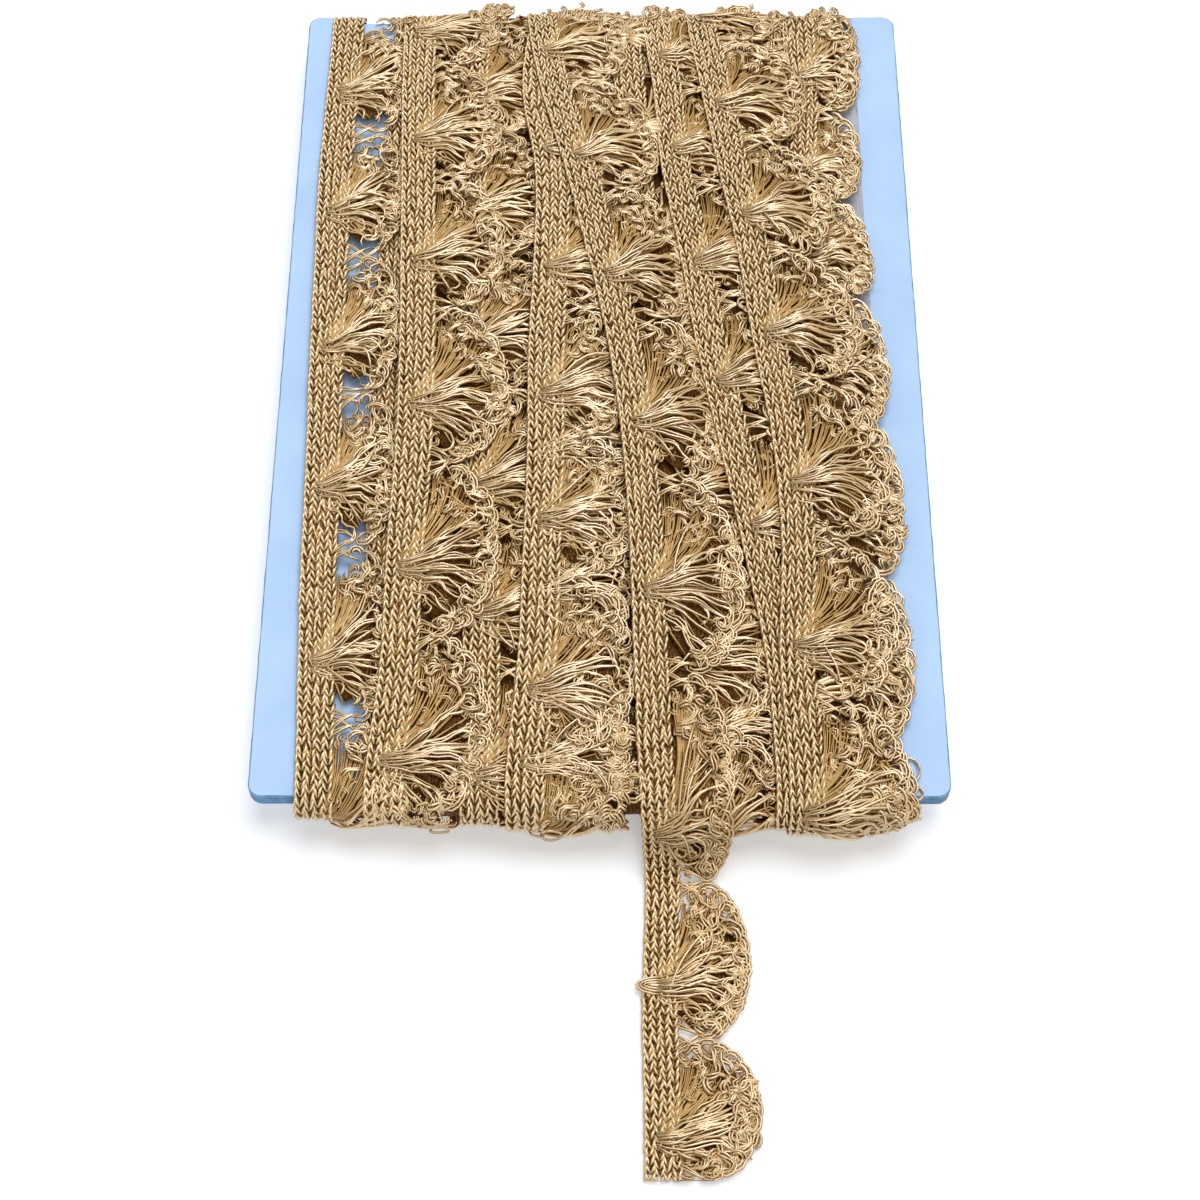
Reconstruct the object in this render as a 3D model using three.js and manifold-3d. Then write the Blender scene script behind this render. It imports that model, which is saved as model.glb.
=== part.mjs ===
// Scalloped lace border trim wound round a stiff card, with its loose end lying in front.
// Millimetres, +Z up, the card's long side along Y. The origin is the middle of the flat face it rests on.
import * as THREE from "three";
import { mergeVertices } from "three/addons/utils/BufferGeometryUtils.js";
import Module from "manifold-3d";

const wasm = await Module();
wasm.setup();

// Driving sizes
const CARD = { width: 148, length: 215, thick: 4, corner: 3 };
const PILE_UNDER = 9; // wound trim between the card and the surface it rests on
const GAP = 0.3; // air between pieces that touch
const HEADING = 8.5; // width of the knitted heading
const NOTCH_REACH = 12.5; // from the heading's left edge to the notch between two scallops
const TIP_REACH = 25; // from the heading's left edge to a scallop's tip
const FAR_SHARE = 0.63; // share of a scallop that lies beyond its root, away from the near edge
const SCALLOP_CROWN = 1.5; // how far a scallop swells above the heading
const TIP_DROOP = 1.8; // how far a scallop's tip sinks below the heading
const THINNEST = 0.9; // the trim at its thinnest, one layer pulled tight
const BEND_STEPS = 6;
const TOP_STEPS = 56;
const UNDER_STEPS = 26;
const CARD_TOP = PILE_UNDER + CARD.thick;
const CARD_MIDDLE = PILE_UNDER + CARD.thick / 2;
const HALF = CARD.length / 2;

// Places along the card where each turn's left edge is given, far end first
const STATIONS = [105, 52.5, 0, -52.5, -105];

// The turns seen on top. x: left edge of the heading at each station. end, mid: height of the heading above the
// card, at the card's ends and middle. roots: where the scallops are gathered.
const TURNS = {
  I: { x: [45.6, 43.4, 49.0, 50.2, 48.0], end: 2.2, mid: 5.0, roots: [87, 55, 30, -5, -44, -88] },
  C: { x: [-36.0, -35.5, -34.8, -30.4, -29.0], end: 2.4, mid: 5.5, roots: [79, 41, 3, -35, -67, -104] },
  H: { x: [2.0, 5.0, 8.0, 13.0, 15.0], end: 3.0, mid: 7.5, roots: [64, 29, -6, -41, -79] },
  A: { x: [-67.4, -68.2, -67.0, -65.8, -63.7], end: 1.2, mid: 2.5, roots: [81, 44, 4, -34, -77] },
  B1: { x: [-52.0, -52.6, -52.5, -51.0, -50.0], end: 1.6, mid: 4.5, roots: [81, 44, 6, -36, -79] },
  B2: { x: [-49.5, -47.8, -45.9, -46.5, -49.3], end: 2.4, mid: 7.5, roots: [100, 63, 25, -15, -56, -100] },
  D: { x: [-18.2, -15.6, -16.5, -16.7, -19.6], end: 3.2, mid: 9.0, roots: [96, 58, 22, -13, -45, -85] },
  F: { x: [10.4, 14.6, 22.0, 31.0, 37.0], end: 3.4, mid: 9.5, roots: [90, 58, 23, -10, -48, -86] },
  G: { x: [21.6, 27.8, 34.7, 39.5, 39.8], end: 4.4, mid: 11.5, roots: [106, 71, 35, 2, -38, -76, -113] },
  E: { x: [-18.5, -8.5, 2.0, 6.6, 8.5], end: 4.6, mid: 11.5, roots: [91, 54, 18, -22, -64, -110] },
};

// The runs seen underneath: left edge at the near end and at the far end
const UNDER_RUNS = [
  { near: -63.7, far: -49.5 },
  { near: -49.3, far: -36.0 },
  { near: -29.0, far: -18.3 },
  { near: -11.0, far: 2.0 },
  { near: 15.0, far: 10.4 },
  { near: 30.0, far: 21.6 },
  { near: 39.8, far: 45.6 },
];
const UNDER_END = 2.6; // height of the underneath runs off the card, at its ends
const UNDER_MIDDLE = 13; // what it would be in the middle if the surface did not flatten it

// The scalloped right side of the wound trim: each notch, and how far the scallop before it reaches
const RIGHT_SIDE = [
  { notchY: 107.5, notchX: 60.5, tipX: 65.0 },
  { notchY: 76, notchX: 58.3, tipX: 65.6 },
  { notchY: 47, notchX: 56.8, tipX: 63.9 },
  { notchY: 20, notchX: 56.8, tipX: 64.3 },
  { notchY: -17, notchX: 58.8, tipX: 66.0 },
  { notchY: -55, notchX: 58.9, tipX: 67.7 },
  { notchY: -92, notchX: 61.0, tipX: 67.0 },
  { notchY: -107.5, notchX: 64.0, tipX: 66.6 },
];

// Openings over 4 mm between the first turn's scallops and the next turn, where the card shows
const WINDOWS = [
  { far: 105.0, near: 97.0, left: -56.2, right: -52.2 },
  { far: 68.5, near: 61.0, left: -57.6, right: -52.9 },
  { far: 34.5, near: 26.0, left: -57.4, right: -52.9 },
  { far: -4.5, near: -12.5, left: -56.6, right: -52.7 },
  { far: -45.0, near: -54.5, left: -56.4, right: -51.6 },
  { far: -89.0, near: -102.0, left: -54.9, right: -50.6 },
];

// The loose end, seen from the side: its underside from the top of the pile, over the edge and along the surface
const LOOSE_SIDE = [
  { y: -96.0, z: CARD_TOP + 4.5 },
  { y: -103.0, z: CARD_TOP + 3.9 },
  { y: -108.5, z: CARD_TOP + 2.8 },
  { y: -112.8, z: CARD_MIDDLE + 1.8 },
  { y: -116.0, z: 6.8 },
  { y: -120.0, z: 1.6 },
  { y: -126.0, z: 0.0 },
  { y: -140.0, z: 0.0 },
  { y: -162.0, z: 0.0 },
  { y: -185.0, z: 0.0 },
];
const LOOSE_EDGE = [8.3, 8.9, 9.2]; // left edge at its start, on the surface, and at its cut end
const LOOSE_NOTCHES = [0, 32.5, 68.5, 101.5]; // along it, where two scallops meet
const LOOSE_THICK = 1.5;
const LOOSE_CROWN = 1.3;
const LOOSE_TIP = 23.8;
const LOOSE_STEPS = 46;

// A smooth value through five stations along the card, level beyond the last
function along(values, y) {
  const step = STATIONS[0] - STATIONS[1];
  const place = THREE.MathUtils.clamp((STATIONS[0] - y) / step, 0, STATIONS.length - 1);
  const i = Math.min(Math.floor(place), STATIONS.length - 2);
  const t = place - i;
  const at = (k) => values[THREE.MathUtils.clamp(k, 0, values.length - 1)];
  const [p0, p1, p2, p3] = [at(i - 1), at(i), at(i + 1), at(i + 2)];
  const bend = 2 * p0 - 5 * p1 + 4 * p2 - p3;
  return p1 + 0.5 * t * (p2 - p0 + t * (bend + t * (3 * (p1 - p2) + p3 - p0)));
}

// How full the pile is, from 0 at the card's ends to 1 in the middle
function fullness(y) {
  return 1 - Math.min(1, Math.abs(y) / HALF) ** 2.4;
}

// How far into a scallop a place is: 0 at a notch, 1 at the middle
function scallop(roots, y) {
  const spaced = [2 * roots[0] - roots[1], ...roots, 2 * roots.at(-1) - roots.at(-2)];
  for (let i = 1; i < spaced.length; i++) {
    const pitch = spaced[i - 1] - spaced[i];
    const near = spaced[i] - (1 - FAR_SHARE) * pitch;
    const far = spaced[i] + FAR_SHARE * pitch;
    if (y >= near && y <= far) {
      const from = (2 * (y - near)) / (far - near) - 1;
      return Math.sqrt(Math.max(0, 1 - from * from));
    }
  }
  return 0;
}

// Height of a strip's upper face over its heading's, s across it, for a scallop that reaches so far
function relief(s, reach, swell) {
  if (s <= HEADING) return 0;
  const share = (s - HEADING) / Math.max(reach - HEADING, 1);
  return swell * Math.sin(Math.PI * Math.min(share, 1)) - TIP_DROOP * share * share;
}

// Height of the pile on top of the card
function topHeight(x, y) {
  const inside = x > along(TURNS.B1.x, y) && x < along(TURNS.I.x, y) + NOTCH_REACH;
  let height = inside ? 1.2 + 3.2 * fullness(y) : THINNEST;
  for (const turn of Object.values(TURNS)) {
    const s = x - along(turn.x, y);
    const wave = scallop(turn.roots, y);
    const reach = NOTCH_REACH + (TIP_REACH - NOTCH_REACH) * wave;
    if (s < 0 || s > reach) continue;
    const level = turn.end + (turn.mid - turn.end) * fullness(y);
    const swell = SCALLOP_CROWN * wave * (0.4 + 0.6 * fullness(y));
    height = Math.max(height, level + relief(s, reach, swell));
  }
  return height;
}

// Depth of the pile under the card, flattened where it rests
function underHeight(x, y) {
  const t = (y + HALF) / CARD.length;
  let height = 0.7 * UNDER_END + (0.7 * UNDER_MIDDLE - 0.7 * UNDER_END) * fullness(y);
  for (const run of UNDER_RUNS) {
    const s = x - THREE.MathUtils.lerp(run.near, run.far, t);
    if (s < 0 || s > TIP_REACH) continue;
    const level = UNDER_END + (UNDER_MIDDLE - UNDER_END) * fullness(y);
    height = Math.max(height, level + relief(s, TIP_REACH, SCALLOP_CROWN));
  }
  return Math.min(height, PILE_UNDER);
}

// The right side of the pile at a place along the card
function rightSide(y) {
  for (let i = 1; i < RIGHT_SIDE.length; i++) {
    const [far, near] = [RIGHT_SIDE[i - 1], RIGHT_SIDE[i]];
    if (y > far.notchY || y < near.notchY) continue;
    const t = (far.notchY - y) / (far.notchY - near.notchY);
    const notch = THREE.MathUtils.lerp(far.notchX, near.notchX, t);
    return notch + (near.tipX - notch) * Math.sqrt(Math.max(0, 1 - (2 * t - 1) ** 2));
  }
  return RIGHT_SIDE.at(-1).notchX;
}

// Lengthwise lines of the wound trim's faces: beside each heading's edges, over each scallop, and the right side.
// A turn that passes under its right neighbour is squeezed up against it.
const LINES = [
  ["A", [0, 4, HEADING, 12.5]],
  ["B1", [-0.5, 0.3]],
  ["B2", [-0.5, 0.3, 4.4, HEADING, 13, 17.5, 22]],
  ["D", [-0.5, 0.3, 4.4, HEADING, 13, 17.5]],
  ["E", [-0.5, 0.3, 4.4, HEADING, 13, 17.5, 22]],
  ["F", [-0.5, 0.3, 4.4, HEADING]],
  ["G", [-0.5, 0.3, 4.4, HEADING, 13, 17.5]],
];
const LINE_SPACE = 0.5;

function linesAt(y) {
  const xs = LINES.flatMap(([turn, across]) => across.map((s) => along(TURNS[turn].x, y) + s));
  xs.push(rightSide(y));
  for (let k = xs.length - 2; k >= 0; k--) xs[k] = Math.min(xs[k], xs[k + 1] - LINE_SPACE);
  return xs;
}

// Places along the top, evenly apart, with the nearest one moved to each notch of the right side
function topPlaces() {
  const ys = Array.from({ length: TOP_STEPS + 1 }, (_, i) => HALF - (CARD.length * i) / TOP_STEPS);
  for (const { notchY } of RIGHT_SIDE) {
    const nearest = ys.reduce((a, b) => (Math.abs(b - notchY) < Math.abs(a - notchY) ? b : a));
    ys[ys.indexOf(nearest)] = notchY;
  }
  return ys;
}

// Rings of points round the card: outer points from left to right, and the two inner corners beside it
function woundSections() {
  const sections = [];
  const add = (xs, outer, inner) =>
    sections.push({
      outer: xs.map((x, k) => [x, ...outer(x, k)]),
      inner: [xs[0], xs.at(-1)].map((x) => [x, ...inner]),
    });
  for (const y of topPlaces()) {
    add(linesAt(y), (x) => [y, CARD_TOP + topHeight(x, y)], [y, CARD_TOP + GAP]);
  }
  const bend = (side) => {
    const [xs, y] = [linesAt(side * HALF), side * HALF];
    for (let i = 1; i < BEND_STEPS; i++) {
      const t = side < 0 ? i / BEND_STEPS : 1 - i / BEND_STEPS;
      const [sin, cos] = [Math.sin(Math.PI * t), Math.cos(Math.PI * t)];
      const radius = (x) => CARD.thick / 2 + THREE.MathUtils.lerp(topHeight(x, y), underHeight(x, y), t);
      const inner = CARD_MIDDLE + (CARD.thick / 2 + GAP) * THREE.MathUtils.clamp(1.6 * cos, -1, 1);
      add(xs, (x) => [y + side * radius(x) * sin, CARD_MIDDLE + radius(x) * cos], [y + side * GAP, inner]);
    }
  };
  bend(-1);
  const [near, far] = [linesAt(-HALF), linesAt(HALF)];
  for (let i = 0; i <= UNDER_STEPS; i++) {
    const t = i / UNDER_STEPS;
    const y = -HALF + CARD.length * t;
    const xs = near.map((x, k) => THREE.MathUtils.lerp(x, far[k], t));
    xs[xs.length - 1] = Math.max(rightSide(y) - 1, xs.at(-2) + LINE_SPACE);
    add(xs, (x) => [y, PILE_UNDER - underHeight(x, y)], [y, PILE_UNDER - GAP]);
  }
  bend(1);
  return sections;
}

// A closed skin over rings of the same number of points. Rings that don't join up get flat ends.
function skin(rings, closed) {
  const count = rings[0].length;
  const faces = [];
  const last = closed ? rings.length : rings.length - 1;
  for (let i = 0; i < last; i++) {
    const next = (i + 1) % rings.length;
    for (let k = 0; k < count; k++) {
      const [a, b] = [i * count + k, i * count + ((k + 1) % count)];
      const [c, d] = [next * count + k, next * count + ((k + 1) % count)];
      faces.push(a, c, b, b, c, d);
    }
  }
  if (!closed) {
    const end = (rings.length - 1) * count;
    const half = count / 2;
    for (let k = 0; k < half - 1; k++) {
      const [a, b, c, d] = [k, k + 1, count - 2 - k, count - 1 - k];
      faces.push(a, b, d, b, c, d);
      faces.push(end + a, end + d, end + b, end + b, end + d, end + c);
    }
  }
  const geometry = new THREE.BufferGeometry();
  geometry.setAttribute("position", new THREE.Float32BufferAttribute(rings.flat(2), 3));
  geometry.setIndex(faces);
  return geometry;
}

function toSolid(geometry) {
  const bare = geometry.clone().deleteAttribute("normal").deleteAttribute("uv");
  const merged = mergeVertices(bare, 1e-4);
  const mesh = new wasm.Mesh({
    numProp: 3,
    vertProperties: new Float32Array(merged.attributes.position.array),
    triVerts: new Uint32Array(merged.index.array),
  });
  return new wasm.Manifold(mesh);
}

function toGeometry(solid) {
  const { vertProperties, triVerts } = solid.getMesh();
  const geometry = new THREE.BufferGeometry();
  geometry.setAttribute("position", new THREE.BufferAttribute(new Float32Array(vertProperties), 3));
  geometry.setIndex(new THREE.BufferAttribute(new Uint32Array(triVerts), 1));
  return geometry;
}

// The stiff card that the trim is wound round, with rounded corners
function cardGeometry() {
  const [w, l, r] = [CARD.width / 2, CARD.length / 2, CARD.corner];
  const outline = new THREE.Shape();
  outline.absarc(w - r, l - r, r, 0, Math.PI / 2);
  outline.absarc(-w + r, l - r, r, Math.PI / 2, Math.PI);
  outline.absarc(-w + r, -l + r, r, Math.PI, 1.5 * Math.PI);
  outline.absarc(w - r, -l + r, r, 1.5 * Math.PI, 2 * Math.PI);
  return new THREE.ExtrudeGeometry(outline, { depth: CARD.thick, bevelEnabled: false, curveSegments: 4 });
}

// One opening: a blunt wedge, wide against the next turn and narrow towards the scallops it lies between
function windowGeometry({ far, near, left, right }) {
  const middle = (far + near) / 2;
  const waist = 0.3 * (far - near);
  const outline = new THREE.Shape();
  outline.moveTo(right, near);
  outline.lineTo(right, far);
  outline.lineTo(left + 1, middle + waist);
  outline.lineTo(left, middle);
  outline.lineTo(left + 1, middle - waist);
  const prism = new THREE.ExtrudeGeometry(outline, { depth: 8, bevelEnabled: false });
  return prism.translate(0, 0, CARD_TOP - 1);
}

// How far the loose end's right side reaches, at a share of its length measured along it
function looseReach(length) {
  for (let i = 1; i < LOOSE_NOTCHES.length; i++) {
    const [from, to] = [LOOSE_NOTCHES[i - 1], LOOSE_NOTCHES[i]];
    if (length > to) continue;
    const t = (length - from) / (to - from);
    return NOTCH_REACH + (LOOSE_TIP - NOTCH_REACH) * Math.sqrt(Math.max(0, 1 - (2 * t - 1) ** 2));
  }
  return NOTCH_REACH + 1;
}

// The loose end: the same strip, over the edge and flat along the surface. grow fattens it on every side.
function looseGeometry(grow) {
  const side = new THREE.CatmullRomCurve3(LOOSE_SIDE.map(({ y, z }) => new THREE.Vector3(0, y, z)));
  const total = side.getLength();
  const rings = [];
  for (let i = 0; i <= LOOSE_STEPS; i++) {
    const share = i / LOOSE_STEPS;
    const point = side.getPointAt(share);
    const run = side.getTangentAt(share);
    const overhang = grow * (i === LOOSE_STEPS) - grow * (i === 0);
    const up = new THREE.Vector3(0, -run.z, run.y);
    if (up.z < 0) up.negate();
    const flat = point.z < 0.05;
    const foot = flat ? new THREE.Vector3(0, point.y, 0) : point;
    const lift = flat ? new THREE.Vector3(0, 0, 1) : up;
    const t = share * (LOOSE_EDGE.length - 1);
    const j = Math.min(Math.floor(t), LOOSE_EDGE.length - 2);
    const left = THREE.MathUtils.lerp(LOOSE_EDGE[j], LOOSE_EDGE[j + 1], t - j);
    const reach = looseReach(share * total);
    const spread = [0, HEADING, HEADING + 0.35 * (reach - HEADING), HEADING + 0.7 * (reach - HEADING), reach];
    const crown = [0, 0, LOOSE_CROWN, 0.8 * LOOSE_CROWN, 0];
    const swell = (reach - NOTCH_REACH) / (LOOSE_TIP - NOTCH_REACH);
    const place = (s, height, outward) => [
      left + s + outward,
      foot.y + lift.y * height + run.y * overhang,
      foot.z + lift.z * height + run.z * overhang,
    ];
    const outward = (k) => grow * (k === spread.length - 1) - grow * (k === 0);
    const upper = spread.map((s, k) => place(s, LOOSE_THICK + crown[k] * Math.max(0, swell) + grow, outward(k)));
    const lower = spread.map((s, k) => place(s, -grow, outward(k)));
    rings.push([...upper, ...lower.reverse()]);
  }
  return skin(rings, false);
}

function woundGeometry() {
  const rings = woundSections().map(({ outer, inner }) => [...outer, inner[1], inner[0]]);
  let solid = toSolid(skin(rings, true));
  for (const gap of WINDOWS) solid = solid.subtract(toSolid(windowGeometry(gap)));
  return toGeometry(solid.subtract(toSolid(looseGeometry(GAP))));
}

function piece(name, geometry, colour, roughness, metalness) {
  const mesh = new THREE.Mesh(geometry, new THREE.MeshStandardMaterial({ color: colour, roughness, metalness }));
  mesh.name = name;
  return mesh;
}

const GOLD = 0xb8915a;
const BLUE = 0xa9ccfa;
const card = piece("card", cardGeometry(), BLUE, 0.8, 0);
card.position.z = PILE_UNDER;

const trim = new THREE.Group();
trim.add(card);
trim.add(piece("wound_trim", woundGeometry(), GOLD, 0.4, 0.6));
trim.add(piece("loose_end", looseGeometry(0), GOLD, 0.4, 0.6));

export default trim;
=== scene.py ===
import functools
import math

import bpy
import numpy as np
from bpy.props import FloatProperty, FloatVectorProperty, IntProperty, PointerProperty
from mathutils import Matrix, Vector


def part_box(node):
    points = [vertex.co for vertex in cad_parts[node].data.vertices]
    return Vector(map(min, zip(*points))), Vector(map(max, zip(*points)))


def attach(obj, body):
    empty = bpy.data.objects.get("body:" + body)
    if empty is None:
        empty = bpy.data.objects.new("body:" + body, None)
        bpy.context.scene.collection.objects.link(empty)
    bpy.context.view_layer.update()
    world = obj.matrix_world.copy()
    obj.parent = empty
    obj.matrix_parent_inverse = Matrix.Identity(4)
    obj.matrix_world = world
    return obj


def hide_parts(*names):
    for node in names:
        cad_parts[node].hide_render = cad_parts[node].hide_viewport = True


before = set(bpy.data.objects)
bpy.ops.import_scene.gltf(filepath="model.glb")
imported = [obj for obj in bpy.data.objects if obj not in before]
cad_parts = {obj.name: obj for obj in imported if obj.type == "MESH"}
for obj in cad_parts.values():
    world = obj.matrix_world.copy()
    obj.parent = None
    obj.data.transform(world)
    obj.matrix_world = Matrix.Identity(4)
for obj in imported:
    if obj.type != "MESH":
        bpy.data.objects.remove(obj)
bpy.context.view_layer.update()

bl_info = {
    "name": "Lace border trim on a card",
    "version": (1, 0, 0),
    "blender": (4, 5, 0),
    "location": "View3D > Sidebar > Lace",
    "description": "Scalloped metallic lace trim wound round a card, thread by thread",
    "category": "Add Mesh",
}

MM = 0.001  # the tables and shapes below are in millimetres, and a mesh is in metres

# The card and the pile round it
CARD_LOW, CARD_HIGH = (np.array(c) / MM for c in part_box("card"))
CARD_TOP = CARD_HIGH[2]
CARD_UNDER = CARD_LOW[2]
CARD_MIDDLE = (CARD_TOP + CARD_UNDER) / 2
HALF = CARD_HIGH[1]
FAR_EDGE = HALF - 1.9  # the turns press the card's far edge in this far
HEADING = 8.8  # width of the knitted heading
NOTCH = 12.0  # from the heading's left edge to a notch between scallops
FAR_SHARE = 0.63  # share of a scallop beyond its root, on the side away from the near edge
FAR_TIGHT = 0.25  # height of a turn at the far end, as a share of its height at the near end
FAR_PRESS = 0.5  # how flat the lace is pulled at the far end
LOWEST = 0.3  # middle of the lowest thread over the surface
BEND_RADIUS = 3.5  # usual radius of the strip round the card's ends
TUCKED = 0.8  # a turn lies at least this far below one that lies over it
SIDES = 3  # flat sides of a thread's tube

# Places along the card where each turn's left edge is given, far end first
STATIONS = np.array([105, 79, 52.5, 26, 0, -26, -52.5, -79, -105])

# Every turn on top, in the order it is wound. x: left edge of the heading at the stations. width: of the
# heading. end, mid: height of the heading over the card at the card's ends and middle. rim_end, rim_mid: the
# same for the scallops' rims. reach: from the left edge to a scallop's tip. under: depth of the run that
# follows it, in the middle of the card's underside. roots: places along the card where the scallops are
# gathered. hidden: those that other turns cover. over: turns that lie on top of it.
TURNS = {
    "A": dict(
        x=(-67.6, -67.8, -68.1, -67.5, -67.0, -66.2, -65.7, -64.7, -63.7),
        width=7.8, end=1.2, mid=2.5, rim_end=1.4, rim_mid=3.2, reach=21.5, under=4.2,
        roots=(81.1, 43.6, 3.8, -33.9, -77.1),
        over=("B2",),
    ),
    "B1": dict(
        x=(-51.8, -52.3, -52.6, -52.5, -52.5, -52.2, -51.4, -49.8, -49.5),
        width=8.4, end=1.0, mid=2.2, rim_end=1.0, rim_mid=2.0, reach=24.0, under=4.9,
        roots=(81, 44, 6, -36, -79),
        over=("B2",),
    ),
    "B2": dict(
        x=(-49.5, -48.9, -47.7, -46.7, -45.9, -45.7, -46.5, -46.8, -49.1),
        width=8.1, end=2.4, mid=7.5, rim_end=2.4, rim_mid=6.4, reach=25.0, under=5.4,
        roots=(100.3, 62.7, 25.4, -14.6, -56.2, -100.5),
        over=("D",),
    ),
    "C": dict(
        x=(-36.0, -35.8, -35.5, -35.2, -34.6, -32.6, -30.2, -29.2, -29.0),
        width=8.0, end=2.4, mid=5.2, rim_end=2.0, rim_mid=5.6, reach=25.0, under=5.6,
        roots=(79, 41, 3.1, -34.9, -66.7, -104),
        over=("B2", "D"),
    ),
    "D": dict(
        x=(-18.0, -19.2, -15.6, -15.5, -16.3, -16.1, -16.6, -17.4, -19.5),
        width=8.2, end=3.6, mid=9.0, rim_end=2.8, rim_mid=8.2, reach=25.5, under=6.0,
        roots=(95, 58, 22.5, -12.9, -45.1, -85.3),
        over=("E", "F"),
    ),
    "H": dict(
        x=(2.0, 3.5, 5.0, 6.5, 8.0, 10.5, 12.3, 14.3, 15.0),
        width=7.4, end=3.0, mid=7.5, rim_end=2.6, rim_mid=7.5, reach=25.0, under=5.8,
        roots=(99, 64, 29, -5.7, -40.6, -79.2), hidden=(99, 64, 29),
        over=("E", "F", "G"),
    ),
    "F": dict(
        x=(10.4, 12.9, 14.6, 18.6, 22.0, 26.6, 31.3, 35.6, 37.0),
        width=6.9, end=3.4, mid=9.5, rim_end=3.0, rim_mid=8.4, reach=24.5, under=5.4,
        roots=(90.0, 58.0, 23.0, -10.5, -47.8, -86), hidden=(-86,),
        over=("G",),
    ),
    "I": dict(
        x=(45.8, 45.5, 44.2, 45.8, 47.5, 48.8, 49.3, 48.8, 48.2),
        width=7.9, end=2.2, mid=4.6, rim_end=0.9, rim_mid=1.6, reach=18.8, under=6.2,
        roots=(85.0, 54.0, 27.0, -5.0, -43.0, -81.5),
        over=("G",),
    ),
    "G": dict(
        x=(21.6, 24.4, 27.8, 31.9, 34.7, 38.3, 39.5, 38.4, 39.7),
        width=7.2, end=4.4, mid=11.5, rim_end=3.0, rim_mid=7.4, reach=25.5, under=6.4,
        roots=(106, 71.3, 35.3, 1.7, -37.8, -76.0),
        over=(),
    ),
    "E": dict(
        x=(-18.4, -14.8, -8.7, -3.2, 1.8, 5.0, 6.6, 7.4, 8.5),
        width=7.1, end=4.6, mid=11.5, rim_end=4.2, rim_mid=8.6, reach=24.5, under=0.0,
        roots=(91.1, 53.9, 17.8, -22.4, -63.8),
        over=("F",),
    ),
}
USUAL_PITCH = 39.0  # between scallops where the trim isn't seen
SHADED = ("B1", "C", "H")  # turns that lie in the others' shade
PLAIN_TURNS = ("B1",)  # covered by the next turn but for a sliver of heading
NEAR_ROUND = 26.0  # length of the underside's run whose scallops still show round the near end

# The loose end's route, seen from the side, and its left edge: over the near edge and along the surface
LOOSE_ROUTE = (
    dict(x=7.9, y=-93.0, z=19.2),
    dict(x=8.3, y=-103.0, z=17.5),
    dict(x=8.6, y=-108.5, z=16.3),
    dict(x=8.9, y=-113.1, z=13.2),
    dict(x=9.3, y=-116.4, z=7.2),
    dict(x=9.7, y=-120.3, z=2.6),
    dict(x=9.8, y=-126.0, z=1.2),
    dict(x=9.3, y=-140.0, z=0.95),
    dict(x=8.9, y=-152.0, z=0.95),
    dict(x=9.2, y=-168.0, z=0.95),
    dict(x=9.2, y=-185.0, z=0.95),
)
LOOSE_FROM = -98.0  # place on top of the card where the loose end's own pieces start
LOOSE_ROOTS = (-114.4, -144.8, -176.5)
LOOSE_REACHES = (19.6, 22.2, 23.7)
UNDER_WIDTH = 7.6  # width of the headings underneath
UNDER_REACH = 24.5  # from their left edge to a scallop's tip

# Scallops of deeper turns that show in the notches. turn: the one they lie under. y: place of the root.
# over, down: to the right of that turn and below it.
DEEPER = (
    dict(turn="D", y=-27.0, over=-0.5, down=1.2),
    dict(turn="D", y=-62.0, over=0.0, down=1.2),
    dict(turn="D", y=-101.0, over=0.0, down=0.9),
    dict(turn="E", y=-96.0, over=9.5, down=2.6),
)

# Single loops that stick out past the others. x, y, z: middle. wide, tall: size. flat: 1 if it lies, 0 if
# it hangs.
STRAY_RINGS = (
    dict(x=65.2, y=-101.8, z=14.2, wide=4.4, tall=5.8, flat=1.0),
    dict(x=65.6, y=-107.0, z=14.0, wide=4.4, tall=3.8, flat=1.0),
    dict(x=64.6, y=-38.5, z=14.2, wide=3.0, tall=4.6, flat=1.0),
    dict(x=-10.0, y=-114.4, z=8.9, wide=4.4, tall=5.0, flat=0.0),
    dict(x=-13.0, y=-113.8, z=8.9, wide=3.0, tall=4.0, flat=0.0),
    dict(x=-33.5, y=-113.4, z=9.4, wide=4.0, tall=3.4, flat=0.0),
)

# Places where more of the deeper loops show. x, y: middle. z: height over the card. wide, long: size.
# count: bundles.
CLUMPS = (
    dict(x=4.6, y=-105.5, z=3.6, wide=1.7, long=2.2, count=22),
    dict(x=4.0, y=-98.0, z=4.4, wide=1.6, long=4.0, count=22),
    dict(x=43.0, y=98.5, z=1.6, wide=2.2, long=2.4, count=16),
    dict(x=11.0, y=86.0, z=2.2, wide=0.8, long=6.0, count=16),
    dict(x=-29.5, y=106.0, z=1.6, wide=1.7, long=0.9, count=12),
    dict(x=-25.0, y=107.0, z=1.8, wide=2.0, long=0.9, count=16),
    dict(x=-9.0, y=106.6, z=1.8, wide=2.2, long=0.8, count=16),
    dict(x=-4.0, y=106.3, z=1.6, wide=1.8, long=0.8, count=12),
    dict(x=16.0, y=106.6, z=1.6, wide=2.2, long=0.8, count=14),
    dict(x=34.0, y=106.8, z=1.6, wide=2.2, long=0.8, count=16),
    dict(x=56.0, y=106.3, z=1.2, wide=2.0, long=0.8, count=12),
)


# The camera that the photo was taken with. lens, sensor: in mm. tilt: down from level. yaw: to the right.
# roll: round its own line of sight. place: in metres, from the middle of the card's top.
CAMERA = dict(lens=69.2, sensor=36.0, tilt=61.69, yaw=-0.47, roll=-0.39, place=(0.0020, -0.3003, 0.4450))

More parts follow.
